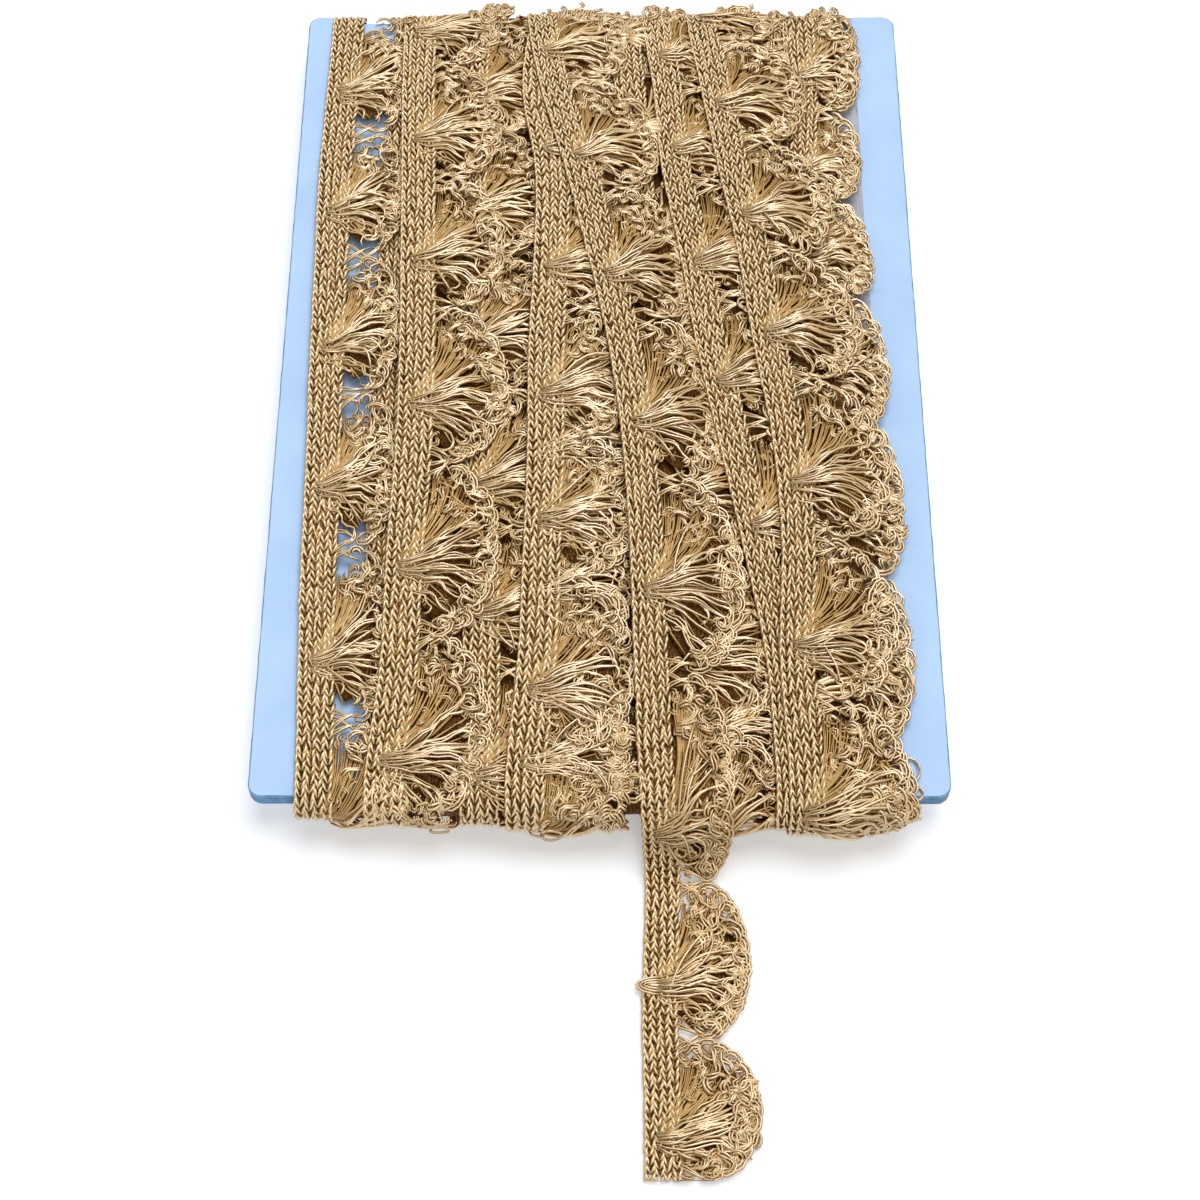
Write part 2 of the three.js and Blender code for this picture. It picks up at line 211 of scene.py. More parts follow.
# source: direction that the light comes from. spread: how wide it is, in degrees. power: its strength.
LIGHTS = (
    dict(name="key_light", source=(0.16, 0.22, 1.0), spread=38.0, power=1.9),
    dict(name="front_light", source=(0.20, -0.65, 1.0), spread=24.0, power=0.5),
)
ROOM_LIGHT = 0.34  # strength of the light from all sides
FLOOR_HALF = 3000.0  # half the floor's width, far past the picture's edges


class LaceSizes(bpy.types.PropertyGroup):
    """Sizes of the threads and stitches"""

    thread: FloatProperty(
        name="Thread", description="Thickness of a thread in the scallops", default=0.67 * MM, unit="LENGTH"
    )
    stitch: FloatProperty(
        name="Stitch", description="Length of a stitch of the wound heading", default=1.95 * MM, unit="LENGTH"
    )
    loose_stitch: FloatProperty(
        name="Loose stitch",
        description="Length of a stitch of the loose end",
        default=1.72 * MM,
        unit="LENGTH",
    )
    groups: IntProperty(name="Pairs", description="Pairs of threads gathered in a scallop", default=14)
    seed: IntProperty(name="Seed", description="Start of the random unevenness", default=7)


class LaceColours(bpy.types.PropertyGroup):
    """Colours of the thread, the card and the tape"""

    gold_light: FloatVectorProperty(
        name="Light gold",
        description="Thread that faces the light",
        subtype="COLOR",
        default=(0.88, 0.66, 0.335),
    )
    # The dark end of tone: darker threads, and painted shade low in the pile and in the hollows.
    gold_deep: FloatVectorProperty(
        name="Deep gold", description="Thread deep in the lace", subtype="COLOR", default=(0.50, 0.31, 0.10)
    )
    # Painted shade: the orange-brown on each thread's lower sides, and in the dark ground deep in the pile.
    gold_painted_shade: FloatVectorProperty(
        name="Hidden gold", description="Sides of a thread", subtype="COLOR", default=(0.50, 0.21, 0.035)
    )
    card_face: FloatVectorProperty(
        name="Card face", description="Blue paper on the card", subtype="COLOR", default=(0.45, 0.64, 0.95)
    )
    card_edge: FloatVectorProperty(
        name="Card edge",
        description="Cut edge of the card's plies",
        subtype="COLOR",
        default=(0.12, 0.28, 0.47),
    )
    tape: FloatVectorProperty(
        name="Tape", description="Grey band along the card", subtype="COLOR", default=(0.36, 0.38, 0.42)
    )


# Shapes along the card

def through(values, y):
    """A smooth value through the stations along the card, level beyond the last."""
    v = np.asarray(values, float)
    place = np.interp(-np.asarray(y, float), -STATIONS, np.arange(len(v)))
    i = np.minimum(place.astype(int), len(v) - 2)
    f = place - i
    p0, p1, p2, p3 = (v[np.clip(i + k, 0, len(v) - 1)] for k in (-1, 0, 1, 2))
    return p1 + 0.5 * f * (p2 - p0 + f * (2 * p0 - 5 * p1 + 4 * p2 - p3 + f * (3 * (p1 - p2) + p3 - p0)))


def fullness(y):
    """How full the pile is, from 0 at the card's ends to 1 in its middle."""
    return 1 - np.minimum(1, np.abs(y) / HALF) ** 2.4


def pressed(y):
    """How flat the lace lies, from 1 where it is loose to FAR_PRESS at the far end."""
    return 1 - (1 - FAR_PRESS) * smooth((y - HALF + 14) / 14)


def smooth(x):
    """From 0 to 1 and level at both ends."""
    x = np.clip(x, 0, 1)
    return x * x * (3 - 2 * x)


def between(end, mid, y):
    """A height over the card, from its values at the ends, the far one pulled tight, and in the middle."""
    pulled = end * np.where(np.asarray(y) > 0, FAR_TIGHT, 1.0)
    return pulled + (mid - pulled) * fullness(y)


def hump(s):
    """How far a scallop swells at a place across the strip, from 0 at its edges to 1."""
    return np.sin(np.pi * np.clip((s - 4) / 20, 0, 1))


def fall(s):
    """How far a place across the strip has gone from the heading's height to the rim's."""
    return smooth((s - HEADING) / 12)


def swelling(y):
    """How far the scallops of the turns on top swell."""
    return 0.4 + 0.6 * fullness(y)


def surface(turn, s, y):
    """Height over the card of a turn on top, at a place across the strip and along the card."""
    level = between(turn["end"], turn["mid"], y)
    rim = between(turn["rim_end"], turn["rim_mid"], y)
    return level + (rim - level) * fall(s) + swelling(y) * hump(s)


def roof(name, x, y):
    """Height of a turn over the card at a place, and how far it covers what lies there, from 0 to 1."""
    turn = TURNS[name]
    s = x - through(turn["x"], y)
    height = surface(turn, s, y)
    cover = smooth(s + 1.1) * smooth(turn["width"] + 0.9 - s)
    if name not in PLAIN_TURNS:
        for root in turn["roots"]:
            gap = ((s - 12) / 8.5) ** 2 + ((y - root - 4) / 12) ** 2
            cover = np.maximum(cover, smooth((1.15 - gap) / 0.3))
    return height, cover


def unrolled(points):
    """For points on top of the card or round its ends: the distance from the card's middle plane or from the
    line that the bend turns about, the angle round the bend, and the place along the unrolled strip."""
    y, z = points[:, 1], points[:, 2]
    edge = np.where(y > 0, FAR_EDGE, HALF)
    beyond = np.maximum(np.abs(y) - edge, 0)
    up = z - CARD_MIDDLE
    angle = np.where(beyond > 0, np.arctan2(beyond, up), 0.0)
    radius = np.where(beyond > 0, np.hypot(beyond, up), up)
    return radius, angle, y + np.sign(y) * (BEND_RADIUS * angle - beyond)


def tuck(points, over):
    """Points pressed down under the turns that lie over them."""
    radius, angle, place = unrolled(points)
    half = CARD_TOP - CARD_MIDDLE
    limit = np.full(len(points), 1e3)
    for name in over:
        height, cover = roof(name, points[:, 0], place)
        limit = np.minimum(limit, np.maximum(height - TUCKED, 0.3) + 6 * (1 - cover))
    upper = (radius > half) & (angle < 0.7 * math.pi)
    fresh = np.where(upper, np.minimum(radius, half + limit), radius)
    share = (fresh / np.maximum(radius, 1e-6))[:, None]
    edge = np.where(points[:, 1] > 0, FAR_EDGE, -HALF)
    along = np.where(angle > 0, edge, points[:, 1])
    centre = np.stack([points[:, 0], along, np.full(len(points), CARD_MIDDLE)], 1)
    return np.where(upper[:, None], centre + (points - centre) * share, points)


def buried(points, over):
    """Whether all of a line lies under other turns. points is (lines, points, 3)."""
    flat = points.reshape(-1, 3)
    _, angle, place = unrolled(flat)
    cover = np.zeros(len(flat))
    for name in over:
        cover = np.maximum(cover, roof(name, flat[:, 0], place)[1])
    hidden = (cover > 0.97) & (angle < 0.6 * math.pi) & (flat[:, 2] > CARD_MIDDLE)
    return hidden.reshape(points.shape[:2]).all(axis=1)


class Strip:
    """The whole trim, as one line: its left edge in millimetres, and the directions across it and out of it.

    t is the distance along the line, s that across from the left edge, and n the height over the ground."""

    def __init__(self, line, drop, crown, press):
        self.line, self.drop, self.crown, self.press = line, drop, crown, press
        steps = np.linalg.norm(np.diff(line, axis=0), axis=1)
        self.t = np.concatenate([[0], np.cumsum(steps)])
        ahead = np.gradient(line, self.t, axis=0)
        kernel = np.ones(7) / 7
        padded = np.pad(ahead, ((3, 3), (0, 0)), mode="edge")
        ahead = np.stack([np.convolve(padded[:, k], kernel, "valid") for k in range(3)], 1)
        ahead /= np.linalg.norm(ahead, axis=1, keepdims=True)
        across = np.array([1.0, 0, 0]) - ahead * ahead[:, :1]
        self.across = across / np.linalg.norm(across, axis=1, keepdims=True)
        self.out = np.cross(ahead, self.across)

    def at(self, values, t):
        """Values given for each sample of the line, at distances along it."""
        return np.stack([np.interp(t, self.t, values[:, k]) for k in range(values.shape[1])], 1)

    def place(self, points):
        """Points of the row frame for points given as (t, s, n)."""
        t, s, n = points.T
        swell = np.interp(t, self.t, self.crown) * hump(s)
        n = n * np.interp(t, self.t, self.press) + np.interp(t, self.t, self.drop) * fall(s) + swell
        world = self.at(self.line, t) + self.at(self.across, t) * s[:, None]
        world += self.at(self.out, t) * n[:, None]
        world[:, 2] = np.maximum(world[:, 2], LOWEST + 0.25 * np.clip(n, 0, 1.2))
        return world


def bend(side, x, end, steps=14):
    """Half a turn round the card's far (1) or near (-1) end, and it ends on top for the far one."""
    radius = (CARD_TOP - CARD_UNDER) / 2 + end
    turn = np.pi * np.arange(1, steps) / steps
    turn = turn[::-1] if side > 0 else turn
    edge = FAR_EDGE if side > 0 else HALF
    return np.stack(
        [np.full(steps - 1, x), side * (edge + radius * np.sin(turn)), CARD_MIDDLE + radius * np.cos(turn)], 1
    )


def spline(points, step):
    """A smooth line through a few points, with samples about that far apart."""
    points = np.asarray(points, float)
    far = 2 * points[0] - points[1]
    near = 2 * points[-1] - points[-2]
    p = np.vstack([far, points, near])
    rows = []
    for i in range(1, len(p) - 2):
        count = max(2, int(np.linalg.norm(p[i + 1] - p[i]) / step))
        f = np.arange(count)[:, None] / count
        a, b, c, d = p[i - 1], p[i], p[i + 1], p[i + 2]
        rows.append(b + 0.5 * f * (c - a + f * (2 * a - 5 * b + 4 * c - d + f * (3 * (b - c) + d - a))))
    return np.vstack([*rows, points[-1:]])


@functools.cache
def winding():
    """The whole winding as one strip, with each turn's marks along it and every scallop's root."""
    rows, drops, crowns, presses, marks = [], [], [], [], {}
    count = 0

    def add(line, drop, crown, press=1.0):
        nonlocal count
        rows.append(line)
        drops.append(np.broadcast_to(drop, len(line)))
        crowns.append(np.broadcast_to(crown, len(line)))
        presses.append(np.broadcast_to(press, len(line)))
        count += len(line)

    names = list(TURNS)
    for k, name in enumerate(names):
        turn = TURNS[name]
        last = name == names[-1]
        start = count
        x_far = float(through(turn["x"], HALF))
        tight = FAR_TIGHT * turn["end"]
        add(bend(1, x_far, tight), FAR_TIGHT * (turn["rim_end"] - turn["end"]), 0.1, FAR_PRESS)
        y = np.linspace(FAR_EDGE, -HALF, 214)
        y = y[y > LOOSE_ROUTE[0]["y"] + 3] if last else y
        level = between(turn["end"], turn["mid"], y)
        rim = between(turn["rim_end"], turn["rim_mid"], y)
        top = count
        add(np.stack([through(turn["x"], y), y, CARD_TOP + level], 1), rim - level, swelling(y), pressed(y))
        if last:
            route = [rows[-1][-1], *[(p["x"], p["y"], p["z"]) for p in LOOSE_ROUTE]]
            add(spline(route, 1.0)[1:], 0.0, 0.35)
            marks[name] = (start, top, count - 1, count - 1)
            continue
        x_near = float(through(turn["x"], -HALF))
        add(bend(-1, x_near, turn["end"]), turn["rim_end"] - turn["end"], 0.4)
        over = count
        after = TURNS[names[k + 1]]
        y = np.linspace(-HALF, FAR_EDGE, 214)
        share = (y + HALF) / (2 * HALF)
        x = x_near + (float(through(after["x"], HALF)) - x_near) * smooth(share)
        ends = turn["end"] + (FAR_TIGHT * after["end"] - turn["end"]) * share
        deep = ends + (turn["under"] - ends) * fullness(y)
        add(np.stack([x, y, CARD_UNDER - deep], 1), -0.3, 0.0)
        marks[name] = (start, top, over, count - 1)
    strip = Strip(np.vstack(rows), *(np.concatenate(v) for v in (drops, crowns, presses)))
    marks = {name: strip.t[list(m)] for name, m in marks.items()}
    return strip, marks, roots_along(strip, marks)


def roots_along(strip, marks):
    """Where every scallop is gathered: those in the table, and evenly spaced ones between, out of sight."""
    known = []
    for name, (_, top, over, _) in marks.items():
        inside = (strip.t >= top) & (strip.t <= over)
        y, t = strip.line[inside, 1], strip.t[inside]
        wanted = [*TURNS[name]["roots"], *(LOOSE_ROOTS if name == list(TURNS)[-1] else ())]
        known.append([float(np.interp(-w, -y, t)) for w in wanted])
    found = []
    for k, here in enumerate(known):
        found += here
        if k + 1 < len(known):
            span = known[k + 1][0] - here[-1]
            count = max(1, round(span / USUAL_PITCH))
            found += [here[-1] + span * i / count for i in range(1, count)]
    lead = [known[0][0] - USUAL_PITCH]
    return np.array([*lead, *found])


# Threads, in the strip's own (t, s, n)

def skin(count, rings, first=0):
    """Faces between rings of points that follow each other. count: points in a ring. first: number of the
    first point."""
    base = first + count * np.arange(rings - 1)[:, None]
    j = np.arange(count)
    k = (j + 1) % count
    return np.stack([base + j, base + k, base + count + k, base + count + j], -1).reshape(-1, 4)


class Yarn:
    """Gathers tubes along many lines, and makes them one mesh."""

    def __init__(self, strip=None, over=(), shade=1.0):
        self.strip, self.over, self.shade = strip, over, shade
        self.points, self.faces, self.tone, self.twist = [], [], [], []
        self.count = 0

    def add(self, lines, radius, tone, taper=0.55, down=0.0, swell=1.0):
        """lines is (lines, points, 3). radius and tone are one value or one for each line. taper: thickness
        of the ends. down: how far all the lines lie below their turn. swell: thickness along them, one value
        or one for each point."""
        lines = np.asarray(lines, float)
        m, n, _ = lines.shape
        radius, tone = np.broadcast_to(radius, m), np.broadcast_to(tone, m) * self.shade
        if self.over:
            keep = ~buried(self.strip.place(lines.reshape(-1, 3)).reshape(m, n, 3), self.over)
            lines, radius, tone = lines[keep], radius[keep], tone[keep]
            m = len(lines)
        if m == 0:
            return
        ahead = np.gradient(lines, axis=1)
        ahead /= np.maximum(np.linalg.norm(ahead, axis=2, keepdims=True), 1e-9)
        side = np.cross(np.array([0.0, 0, 1.0]), ahead)
        flat = np.linalg.norm(side, axis=2, keepdims=True)
        side = np.where(flat > 0.05, side / np.maximum(flat, 1e-9), np.array([0.0, 1.0, 0]))
        up = np.cross(ahead, side)
        width = np.ones(n)
        width[[0, -1]] = taper
        radius = radius[:, None] * width * swell
        angle = 2 * np.pi * np.arange(SIDES) / SIDES + np.pi / 2
        cos, sin = np.cos(angle), np.sin(angle)
        ring = side[:, :, None] * cos[:, None] + up[:, :, None] * sin[:, None]
        points = lines[:, :, None] + ring * radius[:, :, None, None]
        steps = np.linalg.norm(np.diff(lines, axis=1), axis=2)
        along = np.concatenate([np.zeros((m, 1)), np.cumsum(steps, axis=1)], 1)
        twist = np.empty((m, n, SIDES, 3))
        twist[..., 0] = along[:, :, None]
        twist[..., 1], twist[..., 2] = cos, sin
        base = self.count + (np.arange(m) * n * SIDES)[:, None]
        self.faces.append((base[..., None] + skin(SIDES, n)).reshape(-1, 4))
        j = np.arange(SIDES)
        self.faces.append(np.vstack([base + j[::-1], base + (n - 1) * SIDES + j]))
        self.points.append(points.reshape(-1, 3))
        self.twist.append(twist.reshape(-1, 3))
        # Painted shade: the lower a thread lies, the darker its tone.
        depth = np.clip(0.42 + 0.5 * (points[..., 2] + down), 0, 1)
        tone = tone[:, None, None] * depth
        self.tone.append(tone.reshape(-1))
        self.count += m * n * SIDES

    def to_object(self, name):
        """The tubes as one piece, laid along the strip if there is one."""
        points = np.vstack(self.points)
        if self.strip:
            points = tuck(self.strip.place(points), self.over)
        obj = mesh_object(name, points, self.faces, "gold_thread")
        attribute(obj, "tone", "FLOAT", np.concatenate(self.tone))
        attribute(obj, "twist", "FLOAT_VECTOR", np.vstack(self.twist))
        return dress(obj)


def mesh_object(name, points, faces, material):
    """A mesh with a named material. points: in millimetres. faces: arrays, each of one number of corners."""
    mesh = bpy.data.meshes.new(name)
    mesh.vertices.add(len(points))
    mesh.vertices.foreach_set("co", (points * MM).astype(np.float32).ravel())
    corners = np.concatenate([f.ravel() for f in faces]).astype(np.int32)
    sizes = np.concatenate([np.full(len(f), f.shape[1]) for f in faces])
    mesh.loops.add(len(corners))
    mesh.loops.foreach_set("vertex_index", corners)
    mesh.polygons.add(len(sizes))
    mesh.polygons.foreach_set("loop_start", np.concatenate([[0], np.cumsum(sizes)[:-1]]).astype(np.int32))
    mesh.update(calc_edges=True)
    mesh.materials.append(shared(material))
    obj = bpy.data.objects.new(name, mesh)
    bpy.context.scene.collection.objects.link(obj)
    return obj


def attribute(obj, name, kind, values):
    """Values for each point of a mesh, for its material."""
    layer = obj.data.attributes.new(name, kind, "POINT")
    field = "vector" if kind == "FLOAT_VECTOR" else "value"
    layer.data.foreach_set(field, values.astype(np.float32).ravel())


def dress(obj):
    """A piece on the card's own body."""
    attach(obj, "root")
    return obj


# The knitted heading, in (t, s, n)

WALES = (0.15, 0.392, 0.636, 0.875)  # middles of the chains of stitches, as shares of the heading's width

# Points of a stitch's leg and of the cord's. along: share of the stitch's length. across: share of a chain's
# half width, or millimetres for the cord. up: height. loose: which of its random offsets a point has.
LEG = (
    dict(along=-0.70, across=1.0, up=0.12, loose=0),
    dict(along=-0.30, across=0.86, up=0.55, loose=1),
    dict(along=0.20, across=0.48, up=0.62, loose=1),
    dict(along=0.60, across=0.08, up=0.2, loose=2),
)
COARSE_LEG = (LEG[0], dict(along=-0.06, across=0.68, up=0.64, loose=1), LEG[3])
CORD = (
    dict(along=-0.72, across=0.3, up=0.2),
    dict(along=-0.2, across=0.1, up=0.55),
    dict(along=0.25, across=-0.05, up=0.55),
    dict(along=0.68, across=-0.2, up=0.15),
)


def heading(yarn, rng, start, end, pitch, width, fine, wales=WALES):
    """Chains of V stitches whose points lead along the strip, and the cord down the left edge."""
    count = int((end - start) / pitch)
    half = width / 8.0
    t = start + pitch * (np.arange(count) + 0.5)
    lines = []
    for w, share in enumerate(wales):
        slip = 0.5 * pitch * (w % 2) + rng.normal(0, 0.08 * pitch, count)
        sway = share * width + rng.normal(0, 0.09, count)
        size = rng.uniform(0.85, 1.15, count)
        for side in (-1, 1):
            off = rng.normal(0, 0.13, (count, 3))
            leg = []
            for p in LEG if fine else COARSE_LEG:
                s = sway + (side * p["across"] * half + off[:, p["loose"]])
                leg.append(np.stack([t + slip + p["along"] * pitch * size, s, 0 * t + p["up"]], 1))
            lines.append(np.stack(leg, 1))
    lines = np.vstack(lines)
    lines[..., 2] += rng.normal(0, 0.1, (len(lines), 1))
    tone = rng.uniform(1.25, 1.9, len(lines))
    yarn.add(lines, rng.uniform(0.066, 0.079, len(lines)) * width, tone, taper=0.6)
    lean = rng.normal(0, 0.05, count)
    cord = [np.stack([t + p["along"] * pitch, 0.12 + p["across"] + lean, 0 * t + p["up"]], 1) for p in CORD]
    yarn.add(np.stack(cord, 1), 0.44, rng.uniform(1.0, 1.7, count), taper=0.4)


def ground(strip, start, end, left, right, low, high, steps):
    """Points and faces of a thin ribbon under the stitches."""
    ring = [(left, high), (right, high), (right, low), (left, low)]
    points = [(t, s, n) for t in np.linspace(start, end, steps) for s, n in ring]
    last = 4 * steps - 4
    caps = np.array([[0, 1, 2, 3], [last + 3, last + 2, last + 1, last]])
    return strip.place(np.array(points)), [skin(4, steps)[:, [0, 3, 2, 1]], caps]


# The scallops, in (s, u, n): u is the distance from the root away from the near edge

ROOT = 2.8  # from the heading's left edge to where a scallop is gathered
ROOT_LOW, ROOT_HIGH = -2.3, 2.6  # lowest and highest thread there
FAN_RISE = 3.0  # from the root to the middle of the curve that the gathered threads end on
BRIGHT = 0.72  # share of the gathered threads that stand up; the rest line the hollow above them

# How the gathered threads run, from the lowest (0) to the uppermost (1). lead, finish: direction in degrees
# at the root and at the far end. place: angle of the far end round the middle. crest: height on the way.
FAN = {
    "share": (0.00, 0.10, 0.22, 0.36, 0.50, 0.62, 0.74, 0.86, 1.00),
    "lead": (-56, -42, -20, -6, 2, 9, 22, 36, 48),
    "finish": (-58, -56, -44, -24, 8, 40, 72, 84, 90),
    "place": (-78, -57, -34, -12, 10, 30, 52, 72, 92),
    "crest": (0.6, 0.9, 1.5, 1.9, 2.1, 1.9, 0.8, 0.4, 0.3),
    # tone: how light the threads are; low for those that line the hollow, as painted shade.
    "tone": (0.95, 1.0, 1.1, 1.15, 1.15, 1.0, 0.62, 0.5, 0.5),
}


def fan_value(name, share):
    """A value from the table for each share of the way up the gathered threads."""
    return np.interp(share, FAN["share"], FAN[name])


def fan_middle(width):
    """From the left edge to the middle of the curve that the gathered threads end on."""
    return 9.0 - 0.5 * (HEADING - width)


def facing(angle):
    """Directions in (s, u) at an angle, and the directions to their left."""
    ahead = np.stack([np.cos(angle), np.sin(angle)], -1)
    return ahead, np.stack([-ahead[..., 1], ahead[..., 0]], -1)


def fan_ends(share, far, near, reach, width, grow=0.0):
    """Where the gathered threads end, round the inner side of the rim. grow: further out than that."""
    angle = np.radians(fan_value("place", share))
    tall = np.where(angle > 0, far - FAN_RISE - 6.0, near + FAN_RISE - 4.0) + grow
    middle = fan_middle(width)
    return np.stack(
        [middle + (reach - 3.4 + grow - middle) * np.cos(angle), FAN_RISE + tall * np.sin(angle)], -1
    )


def fan_ways(rng, share, level, finish, goal, wander, steps, begin=0.0):
    """Threads from the root to their ends, each astray in its own way. level: height at the root. finish,
    goal: direction and place of their ends. begin: share of the way that a thread is hidden by the others."""
    m = len(share)
    lead, _ = facing(np.radians(fan_value("lead", share) + rng.normal(0, 4.0, m)))
    ahead, left = facing(finish)
    rise = ROOT_LOW + (ROOT_HIGH - ROOT_LOW) * share + rng.normal(0, 0.08, m)
    root = np.stack([ROOT + rng.uniform(-0.6, 0.4, m), rise], 1)
    gap = np.linalg.norm(goal - root, axis=1, keepdims=True)
    b, c = root + 0.42 * gap * lead, goal - 0.36 * gap * ahead
    begin = np.broadcast_to(begin, m)[:, None, None]
    f = begin + (1 - begin) * np.linspace(0, 1, steps)[None, :, None]
    way = (1 - f) ** 3 * root[:, None] + 3 * f * (1 - f) ** 2 * b[:, None]
    way = way + 3 * f * f * (1 - f) * c[:, None] + f**3 * goal[:, None]
    f = f[..., 0]
    wave = np.sin(2 * np.pi * (f * rng.uniform(1.2, 2.6, (m, 1)) + rng.uniform(0, 1, (m, 1))))
    way = way + (wander * rng.uniform(0.3, 1.0, (m, 1)) * wave * smooth(f / 0.35))[..., None] * left[:, None]
    crest = (fan_value("crest", share) + rng.normal(0, 0.18, m))[:, None]
    level = np.broadcast_to(level, m)[:, None]
    height = level + (crest - level) * smooth(f / 0.4) + (0.8 - crest) * smooth((f - 0.45) / 0.55)
    height = height - 0.9 * smooth(1 - (f - begin[..., 0]) / 0.25) * (begin[..., 0] > 0)
    height = height + 0.22 * np.sin(2 * np.pi * (f * rng.uniform(1, 2.4, (m, 1)) + rng.uniform(0, 1, (m, 1))))
    return np.concatenate([way, height[..., None]], 2)


def beside(lines, gap):
    """Lines next to others, to their left, at a distance for each of their points."""
    ahead = np.gradient(lines[..., :2], axis=1)
    ahead /= np.maximum(np.linalg.norm(ahead, axis=2, keepdims=True), 1e-6)
    left = np.stack([-ahead[..., 1], ahead[..., 0]], -1)
    return np.concatenate([lines[..., :2] + gap[..., None] * left, lines[..., 2:]], 2)


def fan_threads(rng, far, near, reach, width, pairs, thread):
    """Threads that stand up from the root, two by two: they wander to the rim and curl over there."""
    share = BRIGHT * (np.arange(pairs) + 0.5 + rng.normal(0, 0.35, pairs)) / pairs
    share = np.clip(share, 0.01, BRIGHT)
    finish = np.radians(fan_value("finish", share) + rng.normal(0, 9, pairs))
    ahead, left = facing(finish)
    short = rng.uniform(-0.3, 4.5, pairs) * rng.integers(0, 2, pairs)
    goal = fan_ends(share, far, near, reach, width) - short[:, None] * ahead
    level = 1.7 - 1.3 * np.abs(share / BRIGHT - 0.55) + 0.35 * (np.arange(pairs) % 2)
    level += rng.normal(0, 0.2, pairs)
    begin = np.where(np.arange(pairs) % 3 == 1, rng.uniform(0.15, 0.35, pairs), 0.0)
    ways = fan_ways(rng, share, level, finish, goal, 0.6, 9, begin)
    radius = rng.uniform(0.8, 2.2, pairs)
    way_round = np.where(share < 0.3, rng.choice([-1, 1], pairs), 1)
    turn = rng.uniform(1.2, 3.4, pairs)[:, None] * np.arange(1, 7) / 6
    _, side = facing(finish[:, None] - way_round[:, None] * turn)
    centre = goal - (way_round * radius)[:, None] * left
    arc = centre[:, None] + (way_round * radius)[:, None, None] * side
    rise = ways[:, -1:, 2] + (0.3 - ways[:, -1:, 2]) * smooth(np.arange(1, 7) / 6 - 0.2) + 0.15
    first = np.concatenate([ways, np.concatenate([arc, rise[..., None]], 2)], 1)
    f = np.linspace(0, 1, first.shape[1])
    wave = f * rng.uniform(1.0, 2.5, (pairs, 1)) + rng.uniform(0.1, 0.4)
    gap = thread * (0.5 + 0.75 * np.sin(np.pi * wave))
    second = beside(first, gap)
    second[..., 2] += rng.normal(0, 0.15, (pairs, 1)) - 0.1
    second[..., 2] -= np.interp(np.arange(second.shape[1]), (0, 2, 4), (0.9, 0.5, 0.0))
    tone = fan_value("tone", share)
    return np.concatenate([first, second]), np.concatenate([tone, 0.92 * tone])


def hollow_threads(rng, far, near, reach, width, count, steps, grow):
    """The smooth sheet of threads that lines the hollow on the fan's upper side."""
    share = np.clip(np.linspace(BRIGHT - 0.04, 1.0, count) + rng.normal(0, 0.005, count), 0, 1)
    finish = np.radians(fan_value("finish", share))
    astray = rng.normal(0, 1.1 - 0.33 * grow, (count, 2)) * [0.3, 1.0]
    goal = fan_ends(share, far, near, reach, width, grow) + astray
    ways = fan_ways(rng, share, 0.55, finish, goal, 0.12, steps)
    ways[..., 2] = 0.3 + 0.15 * ways[..., 2]
    return ways


def crossing_threads(rng, far, near, reach, width, count, steps):
    """Single threads that have slipped across the others."""
    share = rng.uniform(0.05, 0.7, count)
    goal = fan_ends(np.clip(share + rng.normal(0, 0.12, count), 0, 1), far, near, reach, width)
    across = rng.uniform(4, 9, count)
    start = np.stack([across, ROOT_LOW + (ROOT_HIGH - ROOT_LOW) * share + rng.normal(0, 1, count)], 1)
    f = np.linspace(0, 1, steps)[None, :, None]
    bow = rng.normal(0, 1.6, (count, 1, 2)) * np.sin(np.pi * f)
    way = start[:, None] * (1 - f) + goal[:, None] * f + bow
    height = np.broadcast_to(1.1 + 1.1 * np.sin(np.pi * f), (count, steps, 1))
    return np.concatenate([way, height], 2)


